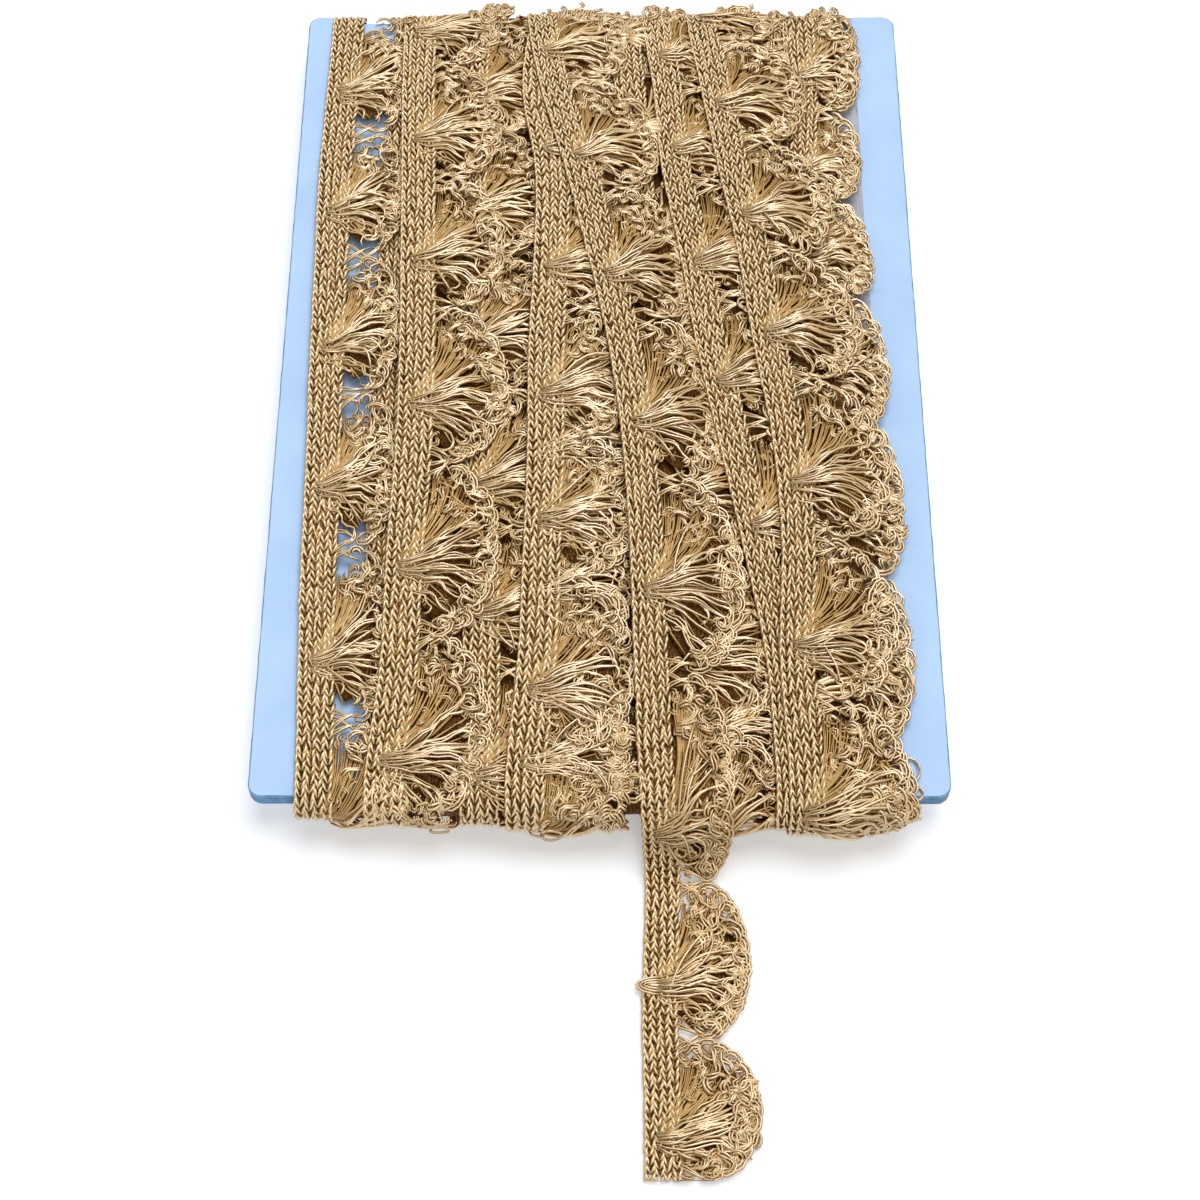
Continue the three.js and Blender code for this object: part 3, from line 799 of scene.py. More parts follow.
def rim_arcs(
    rng, far, near, reach, width, inset, spacing, long, deep, strands, steps, thread, flip=0.0, mess=1.0
):
    """Arcs of a few threads side by side, one after the other round the rim, each lapping over the next.

    inset: of their middles from the rim. spacing: from one to the next. long, deep: half their length and
    their depth. flip: share of them that open outwards. mess: how unevenly they lie."""
    middle, half = (far - near) / 2, (far + near) / 2
    size = np.array([reach - NOTCH - inset, half - 0.9 * inset])
    sweep = np.linspace(-math.pi / 2, math.pi / 2, 90)
    outline = np.stack([NOTCH + size[0] * np.cos(sweep), middle + size[1] * np.sin(sweep)], 1)
    length = np.concatenate([[0], np.cumsum(np.linalg.norm(np.diff(outline, axis=0), axis=1))])
    count = max(3, round(length[-1] / spacing))
    place = length[-1] * (np.arange(count) + 0.5 + rng.normal(0, 0.22 * mess, count)) / count
    angle = np.interp(place, length, sweep)
    centre = np.stack([NOTCH + size[0] * np.cos(angle), middle + size[1] * np.sin(angle)], 1)
    out = np.stack([np.cos(angle) / size[0], np.sin(angle) / size[1]], 1)
    out /= np.linalg.norm(out, axis=1, keepdims=True)
    lean = rng.normal(0, 0.4 * mess, count)[:, None]
    out = out * np.cos(lean) + np.stack([-out[:, 1], out[:, 0]], 1) * np.sin(lean)
    onward = np.stack([-out[:, 1], out[:, 0]], 1)
    out = out * np.where(rng.uniform(0, 1, count) < flip, -1, 1)[:, None]
    reach_on = long * rng.uniform(1 - 0.35 * mess, 1 + 0.3 * mess, count)
    reach_out = deep * rng.uniform(1 - 0.4 * mess, 1 + 0.25 * mess, count)
    open_to = rng.uniform(2.1 - 0.5 * mess, 2.7 - 0.3 * mess, (count, 1))
    lines = []
    for j in range(strands):
        turn = np.linspace(-1, 1, steps) * open_to + rng.normal(0, 0.12, (count, 1))
        on = (reach_on - 1.05 * thread * j)[:, None] * np.sin(turn)
        off = (reach_out - 1.05 * thread * j)[:, None] * np.cos(turn)
        way = centre[:, None] + off[..., None] * out[:, None] + on[..., None] * onward[:, None]
        height = 0.45 + 0.55 * np.cos(turn / 1.6) + 0.3 * np.sin(turn / 2)
        height = height + rng.normal(0, 0.1 + 0.22 * mess, (count, 1)) + 0.1 * j
        lines.append(np.concatenate([way, np.maximum(height, 0.05)[..., None]], 2))
    return np.concatenate(lines)


def arc_bundles(rng, centre, radius, arc, height, strands, steps, thread):
    """Bent bundles of threads side by side about given centres, each its own way round."""
    count = len(centre)
    start, lean = rng.uniform(0, 2 * np.pi, count), rng.uniform(0, np.pi, count)
    squash, tilt = rng.uniform(0.5, 1.0, count), rng.normal(0, 0.35, count)
    f = np.linspace(0, 1, steps)
    lines = []
    for j in range(strands):
        turn = start[:, None] + arc[:, None] * f
        r = np.maximum(radius - 1.05 * thread * j, 0.3)[:, None]
        x, y = r * np.cos(turn), squash[:, None] * r * np.sin(turn)
        cos, sin = np.cos(lean)[:, None], np.sin(lean)[:, None]
        way = np.stack([centre[:, :1] + x * cos - y * sin, centre[:, 1:2] + x * sin + y * cos], 2)
        rise = height[:, None] - 0.6 * np.abs(2 * f - 1) ** 2 + tilt[:, None] * y + 0.06 * j
        lines.append(np.concatenate([way, np.maximum(rise, 0.05)[..., None]], 2))
    return np.concatenate(lines)


def wavy_bundles(rng, centre, length, height, strands, steps, thread):
    """Wavy bundles of threads side by side through given centres, each its own way."""
    count = len(centre)
    f = np.linspace(0, 1, steps)
    phase = rng.uniform(0, 1, (count, 1))
    wave = np.sin(2 * np.pi * (f * rng.uniform(0.5, 1.2, (count, 1)) + phase))
    heading_to = rng.uniform(0, 2 * np.pi, (count, 1)) + rng.uniform(0.4, 1.5, (count, 1)) * wave
    ahead, _ = facing(heading_to)
    way = np.cumsum(ahead * (length[:, None, None] / (steps - 1)), axis=1)
    way += centre[:, None] - way.mean(axis=1, keepdims=True)
    rise = height[:, None] + 0.3 * np.sin(2 * np.pi * (f + phase)) - 0.6 * np.abs(2 * f - 1) ** 2
    first = np.concatenate([way, np.maximum(rise, 0.05)[..., None]], 2)
    apart = 0.75 + 0.35 * np.sin(2 * np.pi * (f + phase))
    return np.concatenate([first, *(beside(first, thread * (j + 1) * apart) for j in range(strands - 1))])


def frill_places(rng, far, near, reach, count, low, high):
    """Places in the band inside the rim, which is widest over the hollow. low, high: least and most width."""
    middle, half = (far - near) / 2, (far + near) / 2
    angle = rng.uniform(-1.35, 1.62, count)
    band = low + high * smooth(1.2 * np.sin(angle))
    inset = 1.3 + band * rng.uniform(0, 1, count) ** 1.1
    s = NOTCH - 1.5 + (reach - NOTCH + 1.5 - inset) * np.cos(angle)
    return np.stack([s, middle + (half - inset) * np.sin(angle)], 1)


def frill(rng, far, near, reach, width, count, thread):
    """The frizzy band inside the rim: short curled and wavy bundles that lie every way."""
    curled = count // 4
    centre = frill_places(rng, far, near, reach, curled, 3.2, 6.5)
    radius, arc = rng.uniform(1.3, 2.8, curled), rng.uniform(1.4, 3.4, curled)
    first = arc_bundles(rng, centre, radius, arc, rng.uniform(0.4, 1.8, curled), 2, 6, thread)
    centre = frill_places(rng, far, near, reach, count - curled, 3.2, 6.5)
    length = rng.uniform(3.0, 6.5, count - curled)
    second = wavy_bundles(rng, centre, length, rng.uniform(0.4, 1.8, count - curled), 2, 6, thread)
    return np.concatenate([first, second])


def fringe(rng, far, near, width, count, thread):
    """Small loops along the heading's right edge, below the root and above it."""
    f = rng.uniform(0, 1, count)
    u = np.where(np.arange(count) % 2 == 0, -3.0 + (5.0 - near) * f, 7.5 + (far - 8.5) * f)
    centre = np.stack([width + rng.uniform(-0.2, 3.0, count), u], 1)
    radius, arc = rng.uniform(0.9, 1.7, count), rng.uniform(2.2, 4.2, count)
    return arc_bundles(rng, centre, radius, arc, rng.uniform(0.2, 0.8, count), 2, 5, thread)


def notch_threads(rng, near, width, steps, thread):
    """The few threads that cross the open place between the heading and the notch on the near side."""
    f = np.linspace(0, 1, steps)
    lines = []
    for start, end in ((-3.6, -0.6), (-1.2, 2.4), (1.4, -2.0), (3.4, 0.8)):
        start, end = rng.normal((start, end), 0.6) - near
        bow = rng.normal(0, 0.7)
        for j in range(2):
            s = width - 1.2 + (NOTCH + 2.2 - width) * f
            u = start + (end - start) * f + bow * np.sin(np.pi * f) + 1.1 * thread * j * np.cos(2 * f)
            lines.append(np.stack([s, u, 0.3 + 0.35 * np.sin(math.pi * f) + 0.1 * j], 1))
    return np.array(lines)


def slipped_loop(root, thread):
    """Threads of one scallop that have slipped out round the heading's left edge, in (t, s, n)."""
    turn = np.linspace(-0.5 * math.pi, 0.5 * math.pi, 9)
    lines = []
    for j in range(4):
        s = 4.0 - (5.4 - 1.1 * thread * j) * np.cos(turn)
        along = root + (1.9 - 0.9 * thread * j) * np.sin(turn)
        lines.append(np.stack([along, s, 1.2 + 0.12 * j + 0 * turn], 1))
    return np.array(lines)


def underlay(rng, far, near, reach, width, count, steps):
    """Threads under the gathered ones, which close the gaps between them; scallop lays them darker, as
    painted shade.
    """
    share = np.linspace(0.02, 0.98, count) + rng.normal(0, 0.02, count)
    goal = fan_ends(share, far, near, reach, width) + rng.normal(0, 0.7, (count, 2))
    root = np.stack([rng.uniform(3.5, 7, count), rng.uniform(-1.5, 2.0, count)], 1)
    f = np.linspace(0, 1, steps)[None, :, None]
    bow = rng.normal(0, 1.0, count)[:, None, None] * np.sin(np.pi * f) * np.array([0.4, 1.0])
    way = root[:, None] * (1 - f) + goal[:, None] * f + bow
    return np.concatenate([way, np.full((count, steps, 1), 0.1)], 2)


def scallop(
    yarn, rng, root, far, near, reach, width, fine, thread, pairs,
    over=0.0, down=0.0, mess=1.0, crowd=1.0, open_notch=False,
):
    """One scallop: its gathered threads, its hollow, the frill and the arcs round its rim, and its notch.

    fine: whether it has all its threads. over, down: how far it lies to the right of its turn and below it.
    mess: how unevenly the arcs lie. crowd: how full of threads it is. open_notch: few in its notches."""

    def lay(lines, radius, tone, swell=1.0, sparse=False):
        """Adds lines to the yarn. sparse: without those past the rim and most of those in an open notch."""
        lines = np.asarray(lines)
        if sparse:
            outward = np.maximum(lines[..., 0] - NOTCH, 0) / (reach - NOTCH)
            onward = (2 * lines[..., 1] - far + near) / (far + near)
            lines = lines[np.hypot(outward, onward).max(axis=1) < 1.06]
        if sparse and open_notch:
            s, u = lines[..., 0].mean(axis=1), lines[..., 1].mean(axis=1)
            notch = (s < 16) & ((u < 6.5 - near) | (u > far - 5))
            lines = lines[~notch | (rng.uniform(0, 1, len(lines)) < 0.15)]
        turned = np.stack([root - lines[..., 1], lines[..., 0] + over, lines[..., 2] - down], -1)
        tones = tone * rng.uniform(0.72, 1.2, len(turned))
        yarn.add(turned, radius * rng.uniform(0.86, 1.1, len(turned)), tones, down=down, swell=swell)

    r = thread / 2
    shape = (rng, far, near, reach, width)
    if not fine:
        share = np.linspace(0.04, 0.96, 17)
        finish = np.radians(fan_value("finish", share))
        goal = fan_ends(share, far, near, reach, width)
        lay(fan_ways(rng, share, 1.0, finish, goal, wander=0.3, steps=5), 2.0 * r, 0.9)
        arcs = rim_arcs(*shape, inset=1.6, spacing=4.2, long=2.9, deep=1.5, strands=1, steps=5, thread=thread)
        lay(arcs, 1.7 * r, 0.9)
        lay(frill(*shape, 12, thread)[:12], 1.7 * r, 0.9)
        return
    lines, tone = fan_threads(*shape, pairs, thread)
    lay(lines, r, 1.1 * tone, np.interp(np.arange(lines.shape[1]), (0, 3, 5), (0.55, 0.88, 1.0)))
    lay(crossing_threads(*shape, count=4, steps=7), r, 1.2)
    # Painted shade: the hollow's lining and the underlay get the lowest tone, the low frill bundles a low
    # one, and the threads on top higher ones.
    lay(hollow_threads(*shape, count=22, steps=7, grow=0.3 if open_notch else 2.4), 0.75 * r, 0.12)
    lay(underlay(*shape, count=22, steps=4), 1.1 * r, 0.45)
    count = round(35 * crowd)
    low = frill_places(rng, far, near, reach, count, 3.0, 8.0)
    length, height = rng.uniform(4.0, 7.5, count), rng.uniform(0.0, 0.4, count)
    lay(wavy_bundles(rng, low, length, height, 1, 5, thread), 1.05 * r, 0.6, sparse=True)
    if not open_notch:
        lay(fringe(rng, far, near, width, round(10 * crowd), thread), 0.95 * r, 0.9)
    arcs = dict(inset=1.9, spacing=2.8, long=2.3, deep=1.8, strands=2, steps=7, mess=mess)
    lay(rim_arcs(*shape, thread=thread, **arcs), 1.06 * r, 1.15)
    arcs = dict(inset=3.0, spacing=3.6, long=2.7, deep=1.8, strands=1, steps=6, flip=0.3)
    lay(rim_arcs(*shape, thread=thread, **arcs), 1.1 * r, 1.1, sparse=True)
    lay(frill(*shape, round(50 * crowd), thread), 1.08 * r, 1.2, sparse=True)
    lay(notch_threads(rng, near, width, 5, thread), 0.9 * r, 1.0)


# Materials

def feed(tree, socket, value):
    """Links what varies over the surface, and sets what doesn't."""
    if isinstance(value, (int, float, tuple)):
        socket.default_value = value
    else:
        tree.links.new(value, socket)


def add_node(tree, kind, inputs=None, **settings):
    """A shader node with its settings, and its inputs by name or number."""
    node = tree.nodes.new("ShaderNode" + kind)
    for name, value in settings.items():
        setattr(node, name, value)
    for name, value in (inputs or {}).items():
        feed(tree, node.inputs[name], value)
    return node


def math_node(tree, operation, *values):
    """The result of a sum on values that are numbers or sockets."""
    return add_node(tree, "Math", dict(enumerate(values)), operation=operation).outputs[0]


def mix_colour(tree, factor, a, b):
    """From the first colour to the second as the factor goes from 0 to 1."""
    return add_node(tree, "Mix", {0: factor, 6: a, 7: b}, data_type="RGBA").outputs[2]


def place_on(tree):
    """Places in the frame that all the pieces share."""
    return add_node(tree, "TexCoord").outputs["Object"]


def noise(tree, scale, detail=4.0, rough=0.55, vector=None):
    """Cloudy unevenness in the frame that all the pieces share, or in one that is given."""
    inputs = {"Scale": scale, "Detail": detail, "Roughness": rough, "Vector": vector or place_on(tree)}
    return add_node(tree, "TexNoise", inputs).outputs["Fac"]


def ramp(tree, factor, low, high):
    """0 up to the low value, 1 from the high one on, and evenly between."""
    inputs = {"Value": factor, "From Min": low, "From Max": high}
    return add_node(tree, "MapRange", inputs, clamp=True).outputs["Result"]


def rgba(colour, gain=1.0, lift=0.0):
    """A colour made stronger and lighter, with its alpha."""
    return (*(min(1.0, gain * c + lift) for c in colour), 1.0)


def twist_group():
    """Two plies twisted round each other, from the threads' own attributes."""
    group = bpy.data.node_groups.new("Twisted plies", "ShaderNodeTree")
    group.interface.new_socket("Turns", in_out="INPUT", socket_type="NodeSocketFloat").default_value = 1.0
    for name in ("Height", "Ridge", "Upper side"):
        group.interface.new_socket(name, in_out="OUTPUT", socket_type="NodeSocketFloat")
    given, out = group.nodes.new("NodeGroupInput"), group.nodes.new("NodeGroupOutput")
    layer = add_node(group, "Attribute", attribute_name="twist")
    along, cos, sin = add_node(group, "SeparateXYZ", {0: layer.outputs["Vector"]}).outputs
    angle = math_node(group, "MULTIPLY", math_node(group, "MULTIPLY", along, given.outputs[0]), 2 * math.pi)
    first = math_node(group, "MULTIPLY", math_node(group, "SINE", angle), cos)
    second = math_node(group, "MULTIPLY", math_node(group, "COSINE", angle), sin)
    height = math_node(group, "ABSOLUTE", math_node(group, "ADD", first, second))
    group.links.new(height, out.inputs["Height"])
    group.links.new(ramp(group, height, 0.05, 0.7), out.inputs["Ridge"])
    # Upper side is 1 on a thread's top and 0 on its lower sides, which gold_thread paints in shade.
    group.links.new(ramp(group, sin, -0.5, 0.45), out.inputs["Upper side"])
    return group


# Each material's function returns the inputs of its shader and those of its bump, or None.

def gold_thread(tree, colours):
    """Thread of two plies: lighter and shinier where its tone is high, with a painted highlight along the
    plies' ridges and painted orange shade on its lower sides.
    """
    group = bpy.data.node_groups.get("Twisted plies") or twist_group()
    plies = add_node(tree, "Group", {"Turns": 0.55}, node_tree=group).outputs
    tone = add_node(tree, "Attribute", attribute_name="tone").outputs["Fac"]
    patches = math_node(tree, "MULTIPLY_ADD", noise(tree, 90.0, 3.0), 0.5, -0.25)
    grain = noise(tree, 2600.0, 2.0)
    level = math_node(tree, "SUBTRACT", math_node(tree, "ADD", tone, patches), 0.05)
    # Painted highlight: a little lighter along the ridges of the plies.
    level = math_node(tree, "MULTIPLY_ADD", plies["Ridge"], 0.10, level)
    lit = ramp(tree, level, 0.0, 1.1)
    colour = mix_colour(tree, lit, rgba(colours.gold_deep), rgba(colours.gold_light))
    inputs = {
        # Painted shade: the thread's lower sides take the painted shade colour.
        "Base Color": mix_colour(tree, plies["Upper side"], rgba(colours.gold_painted_shade), colour),
        "Metallic": 0.15,
        "Roughness": math_node(tree, "MULTIPLY_ADD", grain, 0.16, 0.30),
        "Specular IOR Level": 0.35,
        "Coat Weight": math_node(tree, "MULTIPLY", plies["Upper side"], ramp(tree, level, 0.25, 1.0)),
        "Coat Roughness": 0.27,
        "Coat IOR": 2.3,
    }
    height = math_node(tree, "MULTIPLY_ADD", grain, 0.4, plies["Height"])
    return inputs, {"Height": height, "Distance": 0.03 * MM, "Strength": 0.5}


def gold_ground(tree, colours):
    """The dense ground of short crossing threads: light under the stitches, and painted dark shade deep in
    the pile, under the scallops and in the hollows of its pattern.
    """
    place = place_on(tree)
    cells = add_node(tree, "TexVoronoi", {"Scale": 1100.0, "Vector": place}).outputs["Distance"]
    wave = {"Scale": 420.0, "Distortion": 9.0, "Detail": 2.0, "Detail Scale": 1.4, "Vector": place}
    strands = add_node(tree, "TexWave", wave).outputs["Fac"]
    height = math_node(tree, "MULTIPLY", strands, math_node(tree, "SUBTRACT", 1.1, cells))
    lit_ground = add_node(tree, "Attribute", attribute_name="lit_ground").outputs["Fac"]
    # lit_ground: 1 is light, under the stitches; 0 is painted dark shade, deep in the pile and under the
    # scallops.
    light = mix_colour(tree, lit_ground, rgba(colours.gold_painted_shade, 0.62), rgba(colours.gold_deep, 1.6))
    # Painted shade: darker in the hollows of the strands' pattern.
    colour = mix_colour(tree, ramp(tree, height, 0.2, 0.9), rgba(colours.gold_painted_shade, 0.3), light)
    return {"Base Color": colour, "Metallic": 0.6, "Roughness": 0.5}, {"Height": height, "Distance": 0.4 * MM}


def scuffs(tree):
    """Rubbed places at the card's near corners, as a mask."""
    place, rough = place_on(tree), noise(tree, 800.0, 4.0, 0.7)
    masks = []
    for x, size in ((CARD_HIGH[0], 2.6), (CARD_LOW[0], 1.8)):
        corner = (x * MM, CARD_LOW[1] * MM, CARD_MIDDLE * MM)
        away = add_node(tree, "VectorMath", {0: place, 1: corner}, operation="DISTANCE").outputs["Value"]
        near = math_node(tree, "MULTIPLY_ADD", away, -1 / (size * MM), 1.3)
        masks.append(ramp(tree, math_node(tree, "ADD", near, rough), 0.75, 0.95))
    return math_node(tree, "MULTIPLY", math_node(tree, "MAXIMUM", *masks), 0.5)


def blue_paper(tree, colours):
    """Blue paper: faint mottling and specks, rubbed grey at its near corners."""
    face = rgba(colours.card_face)
    mottle = ramp(tree, noise(tree, 60.0, 5.0), 0.3, 0.75)
    colour = mix_colour(tree, mottle, face, rgba(colours.card_face, 1.1, 0.02))
    specks = ramp(tree, noise(tree, 900.0, 3.0, 0.7), 0.66, 0.74)
    colour = mix_colour(tree, math_node(tree, "MULTIPLY", specks, 0.5), colour, rgba(colours.card_face, 0.86))
    colour = mix_colour(tree, scuffs(tree), colour, (0.28, 0.29, 0.33, 1))
    fibres = math_node(tree, "ADD", noise(tree, 700.0, 5.0), noise(tree, 120.0, 3.0))
    inputs = {"Base Color": colour, "Roughness": 0.72, "Specular IOR Level": 0.3}
    return inputs, {"Height": fibres, "Distance": 0.08 * MM}


def blue_edge(tree, colours):
    """The cut edge: darker blue plies, rubbed here and there."""
    rub = math_node(tree, "MULTIPLY", ramp(tree, noise(tree, 260.0, 5.0, 0.7), 0.42, 0.72), 0.55)
    colour = mix_colour(tree, rub, rgba(colours.card_edge), rgba(colours.card_face))
    colour = mix_colour(tree, scuffs(tree), colour, (0.25, 0.26, 0.30, 1))
    bump = {"Height": noise(tree, 1200.0, 4.0), "Distance": 0.2 * MM}
    return {"Base Color": colour, "Roughness": 0.85}, bump


def grey_tape(tree, colours):
    """A grey satin band with fine scratches along it."""
    drawn = {"Scale": (1.0, 0.12, 1.0), "Rotation": (0, 0, 0.5), "Vector": place_on(tree)}
    scratch = noise(tree, 900.0, 3.0, 0.6, add_node(tree, "Mapping", drawn).outputs[0])
    patch = noise(tree, 150.0, 4.0)
    colour = mix_colour(tree, ramp(tree, patch, 0.35, 0.7), rgba(colours.tape), rgba(colours.tape, 1.35))
    colour = mix_colour(tree, ramp(tree, scratch, 0.6, 0.72), colour, rgba(colours.tape, 0.6))
    inputs = {"Base Color": colour, "Roughness": math_node(tree, "MULTIPLY_ADD", patch, 0.3, 0.25)}
    return inputs, {"Height": math_node(tree, "ADD", scratch, patch), "Distance": 0.1 * MM}


def white_floor(tree, colours):
    """Plain white that glows a little, so that it stays white round the shadow."""
    # Painted light: its faint blue takes the warm tint of the gold's bounce light out of the shadow.
    shade = mix_colour(tree, noise(tree, 6.0, 2.0), (0.70, 0.715, 0.735, 1), (0.73, 0.745, 0.765, 1))
    glow = {"Emission Color": (1, 1, 1, 1), "Emission Strength": 0.34}
    return {"Base Color": shade, "Roughness": 0.9, **glow}, None


MATERIALS = (gold_thread, gold_ground, blue_paper, blue_edge, grey_tape, white_floor)


def shared(name):
    """The material of that name, made the first time it is asked for."""
    material = bpy.data.materials.get(name)
    if material:
        return material
    material = bpy.data.materials.new(name)
    material.use_nodes = True
    tree = material.node_tree
    tree.nodes.clear()
    make = {function.__name__: function for function in MATERIALS}[name]
    inputs, bump = make(tree, bpy.context.scene.lace_colours)
    if bump:
        inputs["Normal"] = add_node(tree, "Bump", bump).outputs[0]
    shader = add_node(tree, "BsdfPrincipled", inputs)
    add_node(tree, "OutputMaterial", {0: shader.outputs[0]})
    return material


# The pieces

class LACE_OT_stage(bpy.types.Operator):
    """Camera, soft studio light and a plain white floor"""

    bl_idname = "lace.stage"
    bl_label = "Stage"

    def execute(self, context):
        scene = context.scene
        camera = bpy.data.objects.new("camera", bpy.data.cameras.new("camera"))
        camera.data.lens = CAMERA["lens"]
        camera.data.sensor_width = CAMERA["sensor"]
        tilt, yaw, roll = (math.radians(CAMERA[name]) for name in ("tilt", "yaw", "roll"))
        ahead = Vector((math.sin(yaw) * math.cos(tilt), math.cos(yaw) * math.cos(tilt), -math.sin(tilt)))
        right = Vector((math.cos(yaw), -math.sin(yaw), 0.0))
        up = right.cross(ahead)
        across = right * math.cos(roll) + up * math.sin(roll)
        upward = -right * math.sin(roll) + up * math.cos(roll)
        turned = Matrix((across, upward, -ahead)).transposed().to_4x4()
        x, y, z = CAMERA["place"]
        camera.matrix_world = Matrix.Translation((x, y, z + CARD_TOP * MM)) @ turned
        scene.collection.objects.link(camera)
        scene.camera = camera

        world = bpy.data.worlds.new("soft_room")
        world.use_nodes = True
        background = world.node_tree.nodes["Background"]
        background.inputs["Color"].default_value = (0.98, 0.99, 1.0, 1.0)
        background.inputs["Strength"].default_value = ROOM_LIGHT
        scene.world = world
        scene.view_settings.view_transform = "Standard"

        for row in LIGHTS:
            light = bpy.data.lights.new(row["name"], "SUN")
            light.angle = math.radians(row["spread"])
            light.energy = row["power"]
            lamp = bpy.data.objects.new(row["name"], light)
            lamp.rotation_euler = (-Vector(row["source"])).to_track_quat("-Z", "Y").to_euler()
            scene.collection.objects.link(lamp)

        corners = FLOOR_HALF * np.array([[-1, -1, 0], [1, -1, 0], [1, 1, 0], [-1, 1, 0]])
        floor = mesh_object("floor", corners, [np.array([[0, 1, 2, 3]])], "white_floor")
        return {"FINISHED"}


def card_outline(width, length, radius, press):
    """Points round the card, some 3 mm apart: rounded corners, and the far edge pressed in by the turns."""
    points = []
    for k, (sx, sy) in enumerate(((1, 1), (-1, 1), (-1, -1), (1, -1))):
        for angle in math.pi / 2 * (k + np.linspace(0, 1, 7)):
            middle = (sx * (width / 2 - radius), sy * (length / 2 - radius))
            points.append((middle[0] + radius * math.cos(angle), middle[1] + radius * math.sin(angle)))
    points = np.array(points)
    rows = []
    for a, b in zip(points, np.roll(points, -1, axis=0)):
        count = max(1, int(np.linalg.norm(b - a) / 2.5))
        rows.append(a + (b - a) * np.arange(count)[:, None] / count)
    points = np.vstack(rows)
    left, right = TURNS["A"]["x"][0] - 0.8, TURNS["I"]["x"][0] + 16.5
    inside = smooth((points[:, 0] - left) / 2) * smooth((right - points[:, 0]) / 2)
    points[:, 1] -= press * inside * (points[:, 1] > length / 2 - 0.1)
    return points


class LACE_OT_card(bpy.types.Operator):
    """The card: four plies glued together, its corners rubbed round"""

    bl_idname = "lace.card"
    bl_label = "Card"

    def execute(self, context):
        rng = np.random.default_rng(context.scene.lace_sizes.seed)
        width, length = CARD_HIGH[0] - CARD_LOW[0], CARD_HIGH[1] - CARD_LOW[1]
        plies = 4
        ply = (CARD_TOP - CARD_UNDER) / plies
        levels = []  # height of each ring round the card, and how far it is worn in
        for k in range(plies):
            base = CARD_UNDER + k * ply
            first, last = k == 0, k == plies - 1
            levels.append((base + 0.04, 0.3 if first else 0.14))
            levels.append((base + 0.22, 0.0))
            levels.append((base + ply - 0.3, 0.0))
            levels.append((base + ply - (0.02 if last else 0.05), 0.3 if last else 0.14))
        outline = card_outline(width, length, 3.0, HALF - FAR_EDGE + 0.2)
        ahead = np.roll(outline, -1, axis=0) - np.roll(outline, 1, axis=0)
        inward = np.stack([-ahead[:, 1], ahead[:, 0]], 1) / np.linalg.norm(ahead, axis=1, keepdims=True)
        rings = []
        for z, inset in levels:
            wear = rng.uniform(0, 0.12, (len(outline), 1))
            rings.append(np.column_stack([outline + inward * (inset + wear), np.full(len(outline), z)]))
        count = len(rings[0])
        points = np.vstack(rings)
        j = np.arange(count)
        top = (len(rings) - 1) * count
        sides = skin(count, len(rings))
        obj = mesh_object("card_board", points, [sides, j[None, ::-1], (top + j)[None]], "blue_edge")
        obj.data.materials.append(shared("blue_paper"))
        obj.data.polygons[len(sides)].material_index = 1
        obj.data.polygons[len(sides) + 1].material_index = 1
        obj.data.shade_flat()
        dress(obj)
        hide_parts("card")
        return {"FINISHED"}


class LACE_OT_tape(bpy.types.Operator):
    """The grey band on the card's right side, mostly under the lace"""

    bl_idname = "lace.tape"
    bl_label = "Tape"

    def execute(self, context):
        left, right, thick, steps = 46.0, 63.4, 0.12, 60
        y = np.linspace(-HALF + 0.6, HALF - 0.6, steps)
        wave = 0.12 * np.sin(y / 9.0) + 0.06 * np.sin(y / 2.3)
        rows = []
        for x, z in ((left, 0.02), (right, 0.02), (right, 0.02 + thick), (left, 0.02 + thick)):
            rows.append(np.column_stack([x + wave * (x == right), y, np.full(steps, CARD_TOP + z)]))
        points = np.stack(rows, 1).reshape(-1, 3)
        last = 4 * (steps - 1)
        caps = np.array([[3, 2, 1, 0], [last, last + 1, last + 2, last + 3]])
        obj = mesh_object("tape_band", points, [skin(4, steps), caps], "grey_tape")
        obj.data.shade_flat()
        dress(obj)
        return {"FINISHED"}


